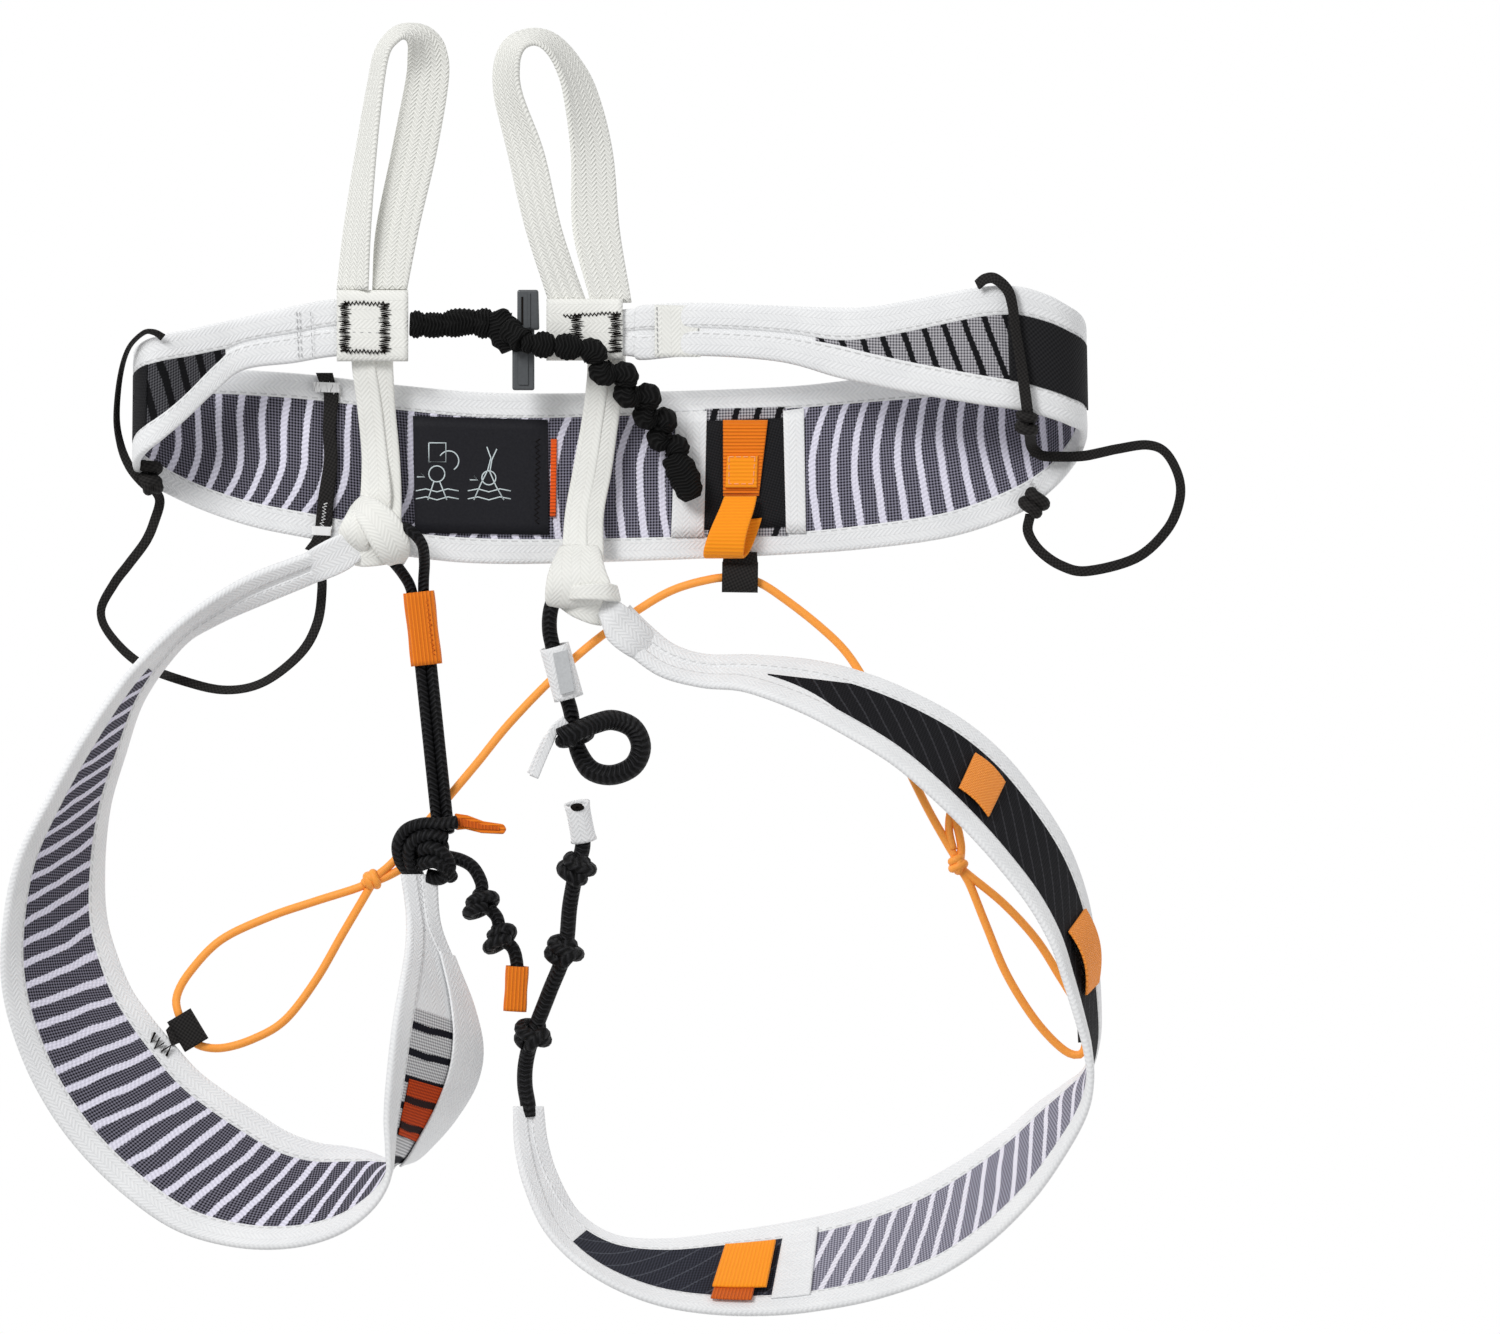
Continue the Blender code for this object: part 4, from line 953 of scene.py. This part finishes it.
for k, (a, b) in enumerate([((346, 304, Z), (346, 352, Z)), ((386, 305, Z), (386, 353, Z))]):
    zigzag(f"tack_left_{k}", a, b, 2.9, 0.34, 0.62, THREAD_BLACK, "belt")
for k, (a, b) in enumerate([((346, 304, Z), (386, 305, Z)), ((346, 352, Z), (386, 353, Z))]):
    zigzag(f"tack_left_line_{k}", a, b, 1.1, 0.6, 0.62, THREAD_BLACK, "belt")
dashes("tack_left_seam", [(346, 333, Z), (386, 334, Z)], 0.9, 1.6, 0.25, THREAD_GREY, "belt")
for k, (a, b) in enumerate([((577, 316, Z), (577, 352, Z)), ((616, 315, Z), (616, 353, Z))]):
    zigzag(f"tack_right_{k}", a, b, 3.4, 0.34, 0.62, THREAD_BLACK, "belt")
zigzag("tack_right_line", (564, 317, Z), (618, 314, Z), 0.9, 0.6, 0.55, THREAD_BLACK, "belt")
zigzag("tack_right_line_low", (577, 352, Z), (616, 353, Z), 0.5, 0.6, 0.3, THREAD_BLACK, "belt")
for k, u in enumerate((298, 301, 312)):
    dashes(f"front_seam_left_{k}", [(u, 313, 21.6), (u + 2, 358, 21.6)], 1.3, 0.9, 0.26, THREAD_GREY, "belt")

patch("front_seam_patch_right", [(655, 306), (700, 307), (701, 358), (655, 358)], 21.6, 0.4, CREAM_FLAT, "belt")
for k, u in enumerate((657, 698)):
    dashes(f"front_seam_right_{k}", [(u, 308, 22.1), (u + 1, 356, 22.1)], 1.0, 0.7, 0.3, THREAD_GREY, "belt")
# the narrow ends of the band, where its two edge tapes are sewn to one another
strip("belt_front_join_left", BELT, 0, 4.2, "skin", 1.5, TAPE, "belt", fine=10, under=1.6)
strip("belt_front_join_right", BELT, 31.6, END, "skin", 1.5, TAPE, "belt", fine=10, under=1.6)

# back band: label, tapes, panel and tab
stands(patch("care_label", [(413, 416), (548, 420), (549, 535), (415, 533)], 3.1, 0.5, LABEL, "belt"), "label_patch")
stands(patch("label_edge_strip", [(551, 439), (557, 439), (556, 517), (550, 517)], 3.2, 0.6, LABEL_STRIP, "belt"), "label_strip")
zigzag("label_seam", (538, 439, 3.45), (537, 524, 3.45), 1.4, 0.9, 0.34, THREAD_BLACK, "belt")


def icon(name, points, d=0.42):
    stitches(name, [at((u, v, 3.42)) for u, v in points], d, LABEL_LINE, "belt")


def arc(cu, cv, r, a0, a1, count=14):
    return [(cu + r * math.cos(math.radians(a0 + (a1 - a0) * k / count)), cv + r * math.sin(math.radians(a0 + (a1 - a0) * k / count))) for k in range(count + 1)]


icon("icon_frame", [(429, 443), (446, 443), (446, 462), (429, 462), (429, 443)])
icon("icon_cord", arc(449, 461, 10, -150, 60))
icon("icon_loop_a", arc(437, 474, 8, 0, 360, 20))
icon("icon_band_a", [(416, 491), (426, 489), (437, 492), (448, 489), (459, 491)])
icon("icon_band_b", [(416, 499), (426, 497), (437, 500), (448, 497), (459, 499)])
icon("icon_leg_a", [(434, 482), (428, 500)])
icon("icon_leg_b", [(440, 482), (447, 500)])
icon("icon_arrow", [(417, 477), (425, 477), (421, 473), (425, 477), (421, 481)])
icon("icon_cross_a", [(487, 447), (491, 458), (488, 470), (481, 484), (474, 500)])
icon("icon_cross_b", [(497, 449), (492, 460), (490, 472), (496, 486), (504, 500)])
icon("icon_loop_b", arc(489, 478, 7, 0, 360, 20))
icon("icon_band_c", [(468, 491), (478, 489), (489, 492), (500, 489), (511, 491)])
icon("icon_band_d", [(468, 499), (478, 497), (489, 500), (500, 497), (511, 499)])
icon("icon_arrow_b", [(470, 480), (478, 480), (474, 476), (478, 480), (474, 484)])

stands(patch("back_tape_left", [(676, 412), (707, 411), (704, 537), (671, 537)], 3.2, 0.7, TAPE, "belt"), "rear_cross_tape_left")
stands(patch("back_tape_right", [(783, 411), (804, 408), (806, 533), (786, 533)], 3.2, 0.7, TAPE, "belt"), "rear_cross_tape_right")
stands(patch("back_panel", [(705, 421), (785, 418), (788, 527), (704, 530)], 3.05, 0.5, PANEL, "belt"), "rear_panel")
patch("back_panel_mesh_top", [(705, 409), (705, 422), (785, 420), (785, 407)], 2.95, 0.3, OUTER_GREY, "belt")
patch("back_panel_mesh_low", [(703, 524), (703, 537), (788, 536), (788, 523)], 2.95, 0.3, OUTER_GREY, "belt")
stands(patch("back_tab_sewn", [(723, 420), (768, 420), (759, 496), (723, 496)], 4.0, 1.0, ORANGE_TAB, "belt"), "rear_tab_base")
# the raised fold and the hanging loop use the painted-lit orange, beside the plain tone of the sewn part of the same
# tab
patch("back_tab_fold", [(727, 456), (758, 456), (757, 488), (725, 488)], 4.9, 1.0, ORANGE_PAINTED_LIT, "belt")
dashes("back_tab_stitch", [(729, 457, 5.5), (755, 457, 5.5), (753, 484, 5.5), (729, 484, 5.5), (729, 457, 5.5)], 1.5, 0.8, 0.34, THREAD_PEACH, "belt")
stands(strip("back_tab_hanging", REAR_LOOP, 0, len(REAR_LOOP) - 1, "full", 1.0, ORANGE_PAINTED_LIT, "rear_flap", fine=8, across=8), "rear_tab_loop")
stands(flat_tube("elastic_keeper_back", (722, 577, 3.2), (758, 577.5, 3.2), 4.9, 2.8, 0.8, BLACK_WEB, "belt", square=3), "rear_keeper")
slab("elastic_keeper_back_root", [(724, 552), (757, 552), (758, 566), (722, 567)], 4.6, 0.8, BLACK_WEB, "belt", 0.2)

STRAP = [((316, 373, 3.9), (333, 373, 3.9), 0), ((320, 384, 4.0), (336, 385, 4.0), 0), ((324, 396, 3.9), (339, 396, 3.9), 0), ((323, 430, 3.9), (336, 430, 3.9), 0),
         ((324, 460, 3.9), (338, 460, 3.9), 0), ((318, 500, 3.9), (334, 502, 3.9), 0), ((314, 534, 3.8), (331, 536, 3.8), 0), ((305, 549, 3.2), (325, 556, 3.2), 0)]
stands(strip("gear_strap", STRAP, 0, 7, "full", 1.0, BLACK_WEB, "belt", fine=10, across=6), "gear_strap_left")
patch("gear_strap_tack_block_top", [(313, 382), (340, 383), (341, 393), (315, 392)], 4.5, 0.7, THREAD_WHITE, "belt")
patch("gear_strap_tack_block_low", [(312, 526), (332, 527), (331, 536), (312, 535)], 4.35, 0.7, THREAD_WHITE, "belt")
zigzag("gear_strap_tack_top", (313, 387, 4.7), (341, 389, 4.7), 3.0, 0.5, 0.5, THREAD_WHITE, "belt")
zigzag("gear_strap_tack_low", (312, 530, 4.5), (332, 531, 4.5), 2.4, 0.6, 0.42, THREAD_WHITE, "belt")
zigzag("gear_strap_bar", (326, 503, 4.6), (322, 527, 4.6), 1.1, 0.5, 0.4, THREAD_WHITE, "belt")

# ================================================================ tie-in loops and risers
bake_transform(stands(strip("tie_in_left_webbing", TIE_LEFT, 0, 12, "full", 2.0, CREAM, None, fine=12, across=14), "tie_in_loop_left"))
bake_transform(stands(strip("tie_in_right_webbing", TIE_RIGHT, 0, 12, "full", 2.0, CREAM, None, fine=12, across=14), "tie_in_loop_right"))
RISE_L1 = [((352, 350, 14.8), (373, 350, 15.8), 0), ((353, 370, 14.6), (377, 370, 15.8), 0), ((358, 410, 11.2), (383, 410, 12.8), 0), ((362, 455, 9.2), (388, 455, 11.0), 0), ((361, 495, 11), (392, 495, 12.4), 0), ((358, 520, 11), (390, 520, 12), 0)]
RISE_L2 = [((372, 350, 14.6), (394, 350, 14.2), 0), ((372, 370, 14.6), (394, 370, 14.0), 0), ((377, 410, 11.6), (396, 410, 10.6), 0), ((379, 455, 9.8), (400, 455, 8.8), 0), ((379, 495, 10), (402, 495, 9.5), 0), ((376, 522, 11), (402, 522, 11), 0)]
stands(strip("riser_left_fold", RISE_L1, 0, 5, "full", 1.6, CREAM_FLAT, "belt", fine=10), "riser_left")
strip("riser_left_back", RISE_L2, 0, 5, "full", 1.6, CREAM_FLAT, "belt", fine=10, shift=0.4)
RISE_R1 = [((588, 352, 14.6), (612, 352, 15.4), 0), ((587, 380, 14.0), (610, 380, 15), 0), ((582, 420, 11), (604, 420, 12.2), 0), ((573, 470, 9), (597, 470, 10.4), 0), ((565, 515, 9), (589, 515, 10.4), 0), ((562, 560, 12), (588, 560, 13), 0)]
RISE_R2 = [((606, 352, 14.6), (626, 352, 14.2), 0), ((604, 380, 14.2), (625, 380, 13.6), 0), ((598, 420, 11.4), (619, 420, 10.6), 0), ((592, 470, 9.8), (612, 470, 8.8), 0), ((585, 515, 9.8), (604, 515, 8.8), 0), ((584, 560, 12), (604, 560, 11), 0)]
stands(strip("riser_right_fold", RISE_R1, 0, 5, "full", 1.6, CREAM_FLAT, "belt", fine=10), "riser_right")
strip("riser_right_back", RISE_R2, 0, 5, "full", 1.6, CREAM_FLAT, "belt", fine=10, shift=0.4)

stands(blob("riser_knot_left_core", (378, 534, 11), (9.0, 8.6, 6.8), CREAM_FLAT, "belt"), "riser_knot_left")
strip("riser_knot_left_wrap_a", [((351, 509, 10), (374, 499, 11), 0), ((345, 519, 15.6), (374, 519, 16.6), 0), ((339.5, 531, 16), (372, 538, 18), 0), ((343, 541, 13), (371, 550, 15), 0),
                                 ((351, 547, 8), (371, 554, 9), 0)], 0, 4, "full", 1.8, CREAM_FLAT, "belt", fine=14, across=12, crown=0.8)
strip("riser_knot_left_wrap_b", [((351, 513, 11.5), (367, 496, 11.5), 0), ((359, 523, 18.6), (382, 502, 18), 0), ((367, 537, 21), (399, 517, 20.2), 0), ((375, 551, 20.4), (410, 537, 19.2), 0),
                                 ((384, 562, 17), (411, 550, 16), 0), ((391, 565, 10), (406, 559, 10), 0)], 0, 5, "full", 1.8, CREAM_FLAT, "belt", fine=14, across=12, crown=0.9)
strip("riser_knot_left_wrap_c", [((354, 545, 12), (353, 565, 10.5), 0), ((366, 541, 15.6), (364, 567, 12.6), 0), ((380, 543, 16), (378, 566, 13.2), 0), ((394, 551, 13), (389, 564, 11), 0)],
      0, 3, "full", 1.8, CREAM_FLAT, "belt", fine=14, across=10, crown=0.5)
root_left = strip("leg_left_root", [((299, 558, 13.6), (309, 584, 8.6), 0), ((318, 545.5, 17.2), (326, 580, 13.4), 0), ((337, 536, 17), (347, 571, 14.6), 0), ((352, 531, 14.6), (359, 562, 14), 0), ((366, 533, 11), (371, 551, 11), 0)], 0, 4, "full", 1.8, TAPE,
                  None, fine=10, across=8, crown=0.6)
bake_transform(root_left)
stands(blob("riser_knot_right_core", (583, 590, 11), (8.6, 8.8, 6.6), CREAM_FLAT, "belt"), "riser_knot_right")
strip("riser_knot_right_wrap_a", [((559, 548, 11), (600, 548, 11), 0), ((549.5, 570, 16.6), (606, 570, 16.6), 0), ((546, 588, 17.6), (611, 586, 18), 0), ((546, 602, 15), (604, 600, 16.6), 0), ((552, 604, 11), (596, 604, 12), 0)],
      0, 4, "full", 1.8, CREAM_FLAT, "belt", fine=14, across=12, crown=0.9)
strip("riser_knot_right_wrap_b", [((557, 588, 14), (557, 602, 13), 0), ((580, 585, 20.4), (580, 600, 20.2), 0), ((604, 583, 20.2), (605, 601, 20.2), 0), ((616, 585, 16.5), (620, 602, 16), 0)],
      0, 3, "full", 1.6, CREAM_FLAT, "belt", fine=14, across=10, crown=0.5)
strip("riser_knot_right_wrap_c", [((563, 599, 12), (562, 609, 11), 0), ((576, 597, 15.4), (574, 617, 13), 0), ((590, 597, 16.4), (591, 624, 13.6), 0), ((604, 600, 14), (601, 626, 12.4), 0)],
      0, 3, "full", 1.8, CREAM_FLAT, "belt", fine=14, across=10, crown=0.8)
root_right = strip("leg_right_root", [((664, 644, 5.4), (644, 664, 10.2), 0), ((650, 628, 10.0), (625, 654, 14.8), 0), ((636, 614, 13), (608, 640, 15.8), 0), ((620, 602, 15.6), (602, 624, 15.4), 0), ((606, 596, 13), (598, 612, 13), 0)], 0, 4, "full", 1.8, TAPE,
                   None, fine=10, across=8, crown=0.6)
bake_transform(root_right)

# ================================================================ lace run and toggle
run_path = spread([(410.5, 325, 18), (440, 326, 18), (470, 323, 18), (511, 328, 18)], 180)
stands(sweep("lace_run", run_path, lambda t: 3.35 + 0.7 * t + (0.55 + 0.5 * math.sin(9.1 * t + 1) ** 2) * abs(math.sin(math.pi * (5.2 * t + 0.35 * math.sin(7 * t)))) ** 0.8 + 0.2 * math.sin(2 * math.pi * 26 * t), LACE, "belt", 20), "waist_lace")
sweep("lace_bulge", spread([(495, 315, 18), (504, 331, 19), (513, 350, 19.4)], 24), lambda t: 5.3 * math.sin(math.pi * (0.16 + 0.7 * t)) ** 0.5 + 0.3 * math.sin(20 * t), LACE, "belt", 20)
stands(slab("toggle_low", [(513, 329), (535, 329), (535, 391), (513, 391)], 18.4, 5.6, PLASTIC, "belt", 0.7), "toggle")
slab("toggle_high", [(518, 291), (539, 291), (540, 331), (518, 331)], 19.6, 6.0, PLASTIC, "belt", 0.7)
# painted shade: a thin black strip on the toggle's top, for the shaded slot
slab("toggle_slot_painted_shade", [(522, 298), (524, 298), (524, 326), (522, 326)], 22.6, 0.5, THREAD_BLACK, "belt", 0.1)
slab("toggle_rib", [(529, 294), (531, 294), (531, 329), (529, 329)], 22.8, 0.8, PLASTIC, "belt", 0.2)
slab("toggle_rib_low", [(519, 352), (529, 352), (529, 386), (519, 386)], 21.4, 0.7, PLASTIC, "belt", 0.25)

# ================================================================ gear loops
ribbon("gear_left_strand", [(166, 339, 34.8), (157, 334, 35.6), (146, 335, 34), (131, 350, 28), (122, 378, 21), (118, 418, 15), (122, 446, 12.5),
                            (130, 466, 12), (140, 480, 12), (149, 490, 11)], 3.0, 0.9, BLACK_WEB, "belt", 60, (40, 70, 70, 50, 20, 60))
stands(bpy.data.objects["gear_left_strand"], "gear_strand_left")
wrap("gear_left_knot_a", (151, 474, 11.5), (0.25, -1, 0), 2.7, 1.9, BLACK_WEB, "belt", 1.4, 4.6, 0.4, 0.8)
wrap("gear_left_knot_b", (152, 484, 11.2), (0.8, 0.5, 0), 2.4, 1.9, BLACK_WEB, "belt", 1.2, 3.0, 0.4, 0.8)
ribbon("gear_left_webbing", [(152, 486, 8), (160, 500, 3.4), (155, 520, 1.6), (146, 541, 1.2), (129, 564, 1.1), (114, 584, 1.1), (101, 611, 1.1),
                             (111, 636, 1.1), (141, 664, 1.1), (187, 682, 1.1), (227, 690, 1.1), (264, 682, 1.1), (300, 654, 1.1),
                             (317, 624, 1.1), (322, 590, 1.1), (321, 556, 1.6)], 3.2, 0.9, BLACK_WEB, "gear_left", 120, (30, 0, 10, 40, 20, 35, 10, 30))
stands(bpy.data.objects["gear_left_webbing"], "gear_loop_left")
ribbon("gear_right_strand", [(976, 287, 36), (984, 281, 37.4), (994, 281, 38), (1006, 292, 38.0), (1011, 308, 38.2), (1014, 332, 38.2),
                             (1020, 368, 37.8), (1024, 398, 37.6), (1026, 413, 37.4), (1028, 425, 33.4), (1029, 436, 24), (1031, 446, 13), (1036, 454, 9.4)],
       3.6, 1.1, BLACK_WEB, "belt", 80, (30, 10, 30, 0, 0, 0))
stands(bpy.data.objects["gear_right_strand"], "gear_strand_right")
wrap("gear_right_knot_a", (1025, 424, 35.5), (0.2, -1, -0.3), 2.3, 1.7, BLACK_WEB, "belt", 1.5, 4.4, 0.2, 0.8)
wrap("gear_right_knot_b", (1026, 427, 34.5), (0.9, 0.3, 0), 2.0, 1.6, BLACK_WEB, "belt", 1.1, 3.0, 0.6, 0.8)
ribbon("gear_right_webbing", [(1034, 450, 10.4), (1042, 456, 9.2), (1060, 457, 11.4), (1074, 457, 15), (1086, 456, 16), (1100, 453, 12.5), (1118, 449, 7),
                              (1147, 445, 2.4), (1166, 453, 1.2), (1179, 478, 1.1), (1179, 503, 1.1), (1166, 531, 1.1),
                              (1136, 558, 1.1), (1088, 571, 1.1), (1062, 566, 1.1), (1040, 551, 1.1), (1028, 532, 1.4), (1030, 515, 4.0)],
       3.3, 0.9, BLACK_WEB, "gear_right", 130, (10, 0, 15, 30, 10, 0, 10))
stands(bpy.data.objects["gear_right_webbing"], "gear_loop_right")
wrap("gear_right_knot_c", (1034, 503, 5.4), (0.4, 1, 0), 3.0, 2.1, BLACK_WEB, "belt", 1.5, 3.6, 0.2, 0.8)
zigzag("gear_right_tack", (1030, 482, 3.8), (1040, 494, 3.8), 1.6, 0.55, 0.4, THREAD_WHITE, "belt")

# ================================================================ left leg loop
LAST = len(LEG_LEFT) - 1
strip("leg_left_join_high", LEG_LEFT, 0, 5.0, "skin", 1.6, TAPE, "leg_left", fine=12, under=1.6)
strip("leg_left_join_low", LEG_LEFT, 25.2, LAST, "skin", 1.6, TAPE, "leg_left", fine=12, under=1.6)
strip("leg_left_cuff", LEG_LEFT, 20.4, 27.2, "full", 0.8, TAPE, "leg_left", shift=-1.9, lo=0.62, hi=0.96, fine=12)
stands(strip("leg_left_upper_binding", LEG_LEFT, 0, LAST, "edge1", 2.4, TAPE_IN1, "leg_left", fine=12, crown=0.2), "leg_left_tape_far")
stands(strip("leg_left_lower_binding", LEG_LEFT, 0, LAST, "edge2", 2.4, TAPE_IN2, "leg_left", fine=12, crown=0.2), "leg_left_tape_near")
stands(strip("leg_left_inner_face", LEG_LEFT, 4.6, 25.6, "skin", 0.5, LILAC_LEG, "leg_left", shift=SKIN_APART, fine=12, across=14), "leg_left_skin_inner")
stands(strip("leg_left_outer_face", LEG_LEFT, 4.6, 25.5, "skin", 0.5, OUTER_LEG, "leg_left", shift=-SKIN_APART, fine=12, across=14), "leg_left_skin_outer")
stands(strip("leg_left_tab_sewn", LEG_LEFT, 21.7, 23.6, "full", 0.4, TAB_THROUGH, "leg_left", shift=-1.3, lo=0.22, hi=0.80, fine=20), "leg_left_tab")
stands(flat_tube("leg_left_elastic_keeper", (179, 1015, 3.1), (197, 1045, 3.1), 4.4, 2.5, 0.8, BLACK_WEB, "leg_left", square=3), "leg_left_keeper")
slab("leg_left_keeper_root", [(166, 1030), (178, 1016), (186, 1040), (172, 1046)], 3.6, 0.9, BLACK_WEB, "leg_left", 0.2)
zigzag("leg_left_keeper_tack", (152, 1036, 5.6), (170, 1052, 5.6), 3.4, 1.0, 0.85, THREAD_BLACK, "leg_left")
stands(flat_tube("closing_sleeve_orange", (419, 592, 7.0), (427, 665, 7.0), 5.0, 3.2, 0.7, ORANGE_WEB, "sleeve_left", square=2.8, wavy=0.02), "closing_sleeve_left")
# the tack line is drawn in the painted-shade orange, a darker line along the stitching
zigzag("closing_sleeve_orange_tack", (427, 600, 10.0), (434, 655, 10.0), 1.0, 0.8, 0.3, ORANGE_PAINTED_SHADE, "sleeve_left")
hub = blob("hitch_core", (430, 848, 8.2), (6.4, 6.0, 4.6), CORD, "leg_left", 0.3)
stands(hub, "hitch_left")
for k, (r, route) in enumerate([
        (2.2, [(410, 873, 6), (401, 860, 9), (399, 844, 12), (407, 830, 13), (423, 824, 13.2), (440, 824, 13), (457, 822, 11.6)]),
        (2.2, [(418, 876, 6), (411, 862, 11), (410, 848, 13.4), (418, 838, 14.2), (432, 835, 14.2), (446, 838, 12)]),
        (2.5, [(420, 850, 13.6), (432, 848, 14.8), (444, 855, 14.2), (449, 867, 12), (441, 877, 10), (428, 876, 9)]),
        (2.2, [(421, 864, 13.6), (434, 861, 15.4), (446, 867, 13.6), (452, 877, 9)])]):
    sweep(f"hitch_turn_{k}", spread(route, 40), r, CORD, "leg_left", 14)
stands(slab("closing_tab_orange", [(455, 813), (468, 815), (484, 821), (504, 824), (507, 829), (504, 834), (482, 833), (466, 829), (456, 830)], 8.6, 1.5, ORANGE_WEB, "leg_left", 0.6), "pull_tab_left")
# painted shade: a thin dark orange sheet on the pull tab, for the shaded side of its fold
slab("closing_tab_orange_painted_fold_shade", [(458, 817), (482, 824), (500, 827), (500, 830), (480, 829), (459, 826)], 9.6, 0.5, ORANGE_PAINTED_SHADE, "leg_left", 0.2)
zigzag("leg_left_end_tack", (421, 874, 15.4), (425, 930, 18), 0.9, 0.9, 0.3, THREAD_GREY, "leg_left")

# ================================================================ right leg loop
LAST = len(LEG_RIGHT) - 1
strip("leg_right_join_high", LEG_RIGHT, 0, 6.0, "skin", 1.6, TAPE, "leg_right", fine=12, under=1.6)
strip("leg_right_join_low", LEG_RIGHT, 26.4, LAST, "skin", 1.6, TAPE, "leg_right", fine=12, under=1.6)
stands(strip("leg_right_upper_binding", LEG_RIGHT, 0, LAST, "edge1", 2.4, TAPE_IN1, "leg_right", fine=12, crown=0.2), "leg_right_tape_far")
stands(strip("leg_right_lower_binding", LEG_RIGHT, 0, LAST, "edge2", 2.4, TAPE_IN2, "leg_right", fine=12, crown=0.2), "leg_right_tape_near")
stands(strip("leg_right_inner_face", LEG_RIGHT, 4.5, 23.9, "skin", 0.5, LILAC_LEG_R, "leg_right", shift=-SKIN_APART, fine=12, across=14), "leg_right_skin_inner")
strip("leg_right_inner_dark", LEG_RIGHT, 23.9, 27.6, "skin", 0.5, DARK_MESH, "leg_right", shift=-SKIN_APART, fine=12, across=14)
stands(strip("leg_right_outer_face", LEG_RIGHT, 4.3, 28.0, "skin", 0.5, PANEL_LEG, "leg_right", shift=SKIN_APART, fine=12, across=14, point=1.5), "leg_right_skin_outer")
stands(strip("leg_right_elastic_a", LEG_RIGHT, 8.42, 9.2, "full", 0.9, ORANGE_KNIT, "leg_right", shift=2.1, lo=0.25, hi=0.71, fine=24, across=12, wave=0.8, pitch=0.5), "leg_right_elastic_loop_a")
stands(strip("leg_right_elastic_b", LEG_RIGHT, 12.1, 13.6, "full", 0.9, ORANGE_KNIT, "leg_right", shift=2.0, lo=0.30, hi=0.80, fine=20, across=12, wave=2.2, pitch=0.5), "leg_right_elastic_loop_b")
stands(strip("leg_right_cross", LEG_RIGHT, 23.35, 24.05, "full", 0.8, TAPE, "leg_right", shift=-1.6, lo=0.14, hi=0.86, fine=20), "leg_right_cross_tape")
# tab face in the painted-lit orange; the strip below it is painted shade, a darker orange for the shaded inside of the
# tab's loop
stands(strip("leg_right_tab_face", LEG_RIGHT, 24.15, 25.0, "full", 1.0, ORANGE_PAINTED_LIT, "leg_right", shift=-3.4, lo=0.22, hi=0.74, fine=20), "leg_right_tab")
strip("leg_right_tab_under_painted_shade", LEG_RIGHT, 24.35, 24.98, "full", 0.7, ORANGE_PAINTED_SHADE, "leg_right", shift=-2.6, lo=0.10, hi=0.50, fine=20)
stands(flat_tube("leg_right_elastic_keeper", (1085, 1022, 3.1), (1086, 1042, 3.1), 2.6, 2.5, 0.8, BLACK_WEB, "leg_right", square=3), "leg_right_keeper")
stands(flat_tube("closing_sleeve_white", (554.5, 646, 8.8), (569, 698, 7.2), 4.8, 4.6, 0.7, TAPE, "sleeve_right", square=2.6), "closing_sleeve_right")
slab("closing_sleeve_white_patch", [(553, 653), (568, 650), (575, 691), (561, 695)], 13.0, 0.5, solid("grey_patch", (0.42, 0.43, 0.44), 0.8, 0.2, 0.06), "sleeve_right", 0.2)
wrap("closing_turn_right", (575, 736, 8.4), (0.15, -1, 0.2), 4.4, 2.2, CORD, "closure_right", 1.2, 3.0, 0.3, 0.9)

# ================================================================ stage and light
floor_mesh = bpy.data.meshes.new("floor")
floor_mesh.from_pydata([(-6, -6, -0.0006), (6, -6, -0.0006), (6, 6, -0.0006), (-6, 6, -0.0006)], [], [(0, 1, 2, 3)])
floor = bpy.data.objects.new("floor", floor_mesh)
SCENE.objects.link(floor)
paper = bpy.data.materials.new("paper")
paper.use_nodes = True
paper.node_tree.nodes.remove(paper.node_tree.nodes["Principled BSDF"])
glow = paper.node_tree.nodes.new("ShaderNodeEmission")
glow.inputs["Color"].default_value = (1, 1, 1, 1)
glow.inputs["Strength"].default_value = 1.0
paper.node_tree.links.new(glow.outputs[0], paper.node_tree.nodes["Material Output"].inputs[0])
floor_mesh.materials.append(paper)

world = bpy.data.worlds.new("world")
bpy.context.scene.world = world
world.use_nodes = True
world.node_tree.nodes["Background"].inputs["Color"].default_value = (1, 1, 1, 1)
world.node_tree.nodes["Background"].inputs["Strength"].default_value = 0.43

bpy.context.scene.view_settings.view_transform = "Standard"


def area(name, place, aim, size, power):
    data = bpy.data.lights.new(name, "AREA")
    data.shape = "RECTANGLE"
    data.size = size[0]
    data.size_y = size[1]
    data.energy = power
    obj = bpy.data.objects.new(name, data)
    obj.location = place
    obj.rotation_euler = (Vector(aim) - Vector(place)).to_track_quat("-Z", "Y").to_euler()
    SCENE.objects.link(obj)


area("key", (-0.9, 1.1, 1.5), (0, 0, 0), (0.7, 0.7), 27)
area("fill", (1.4, -0.6, 1.3), (0, 0, 0), (1.4, 1.4), 6)
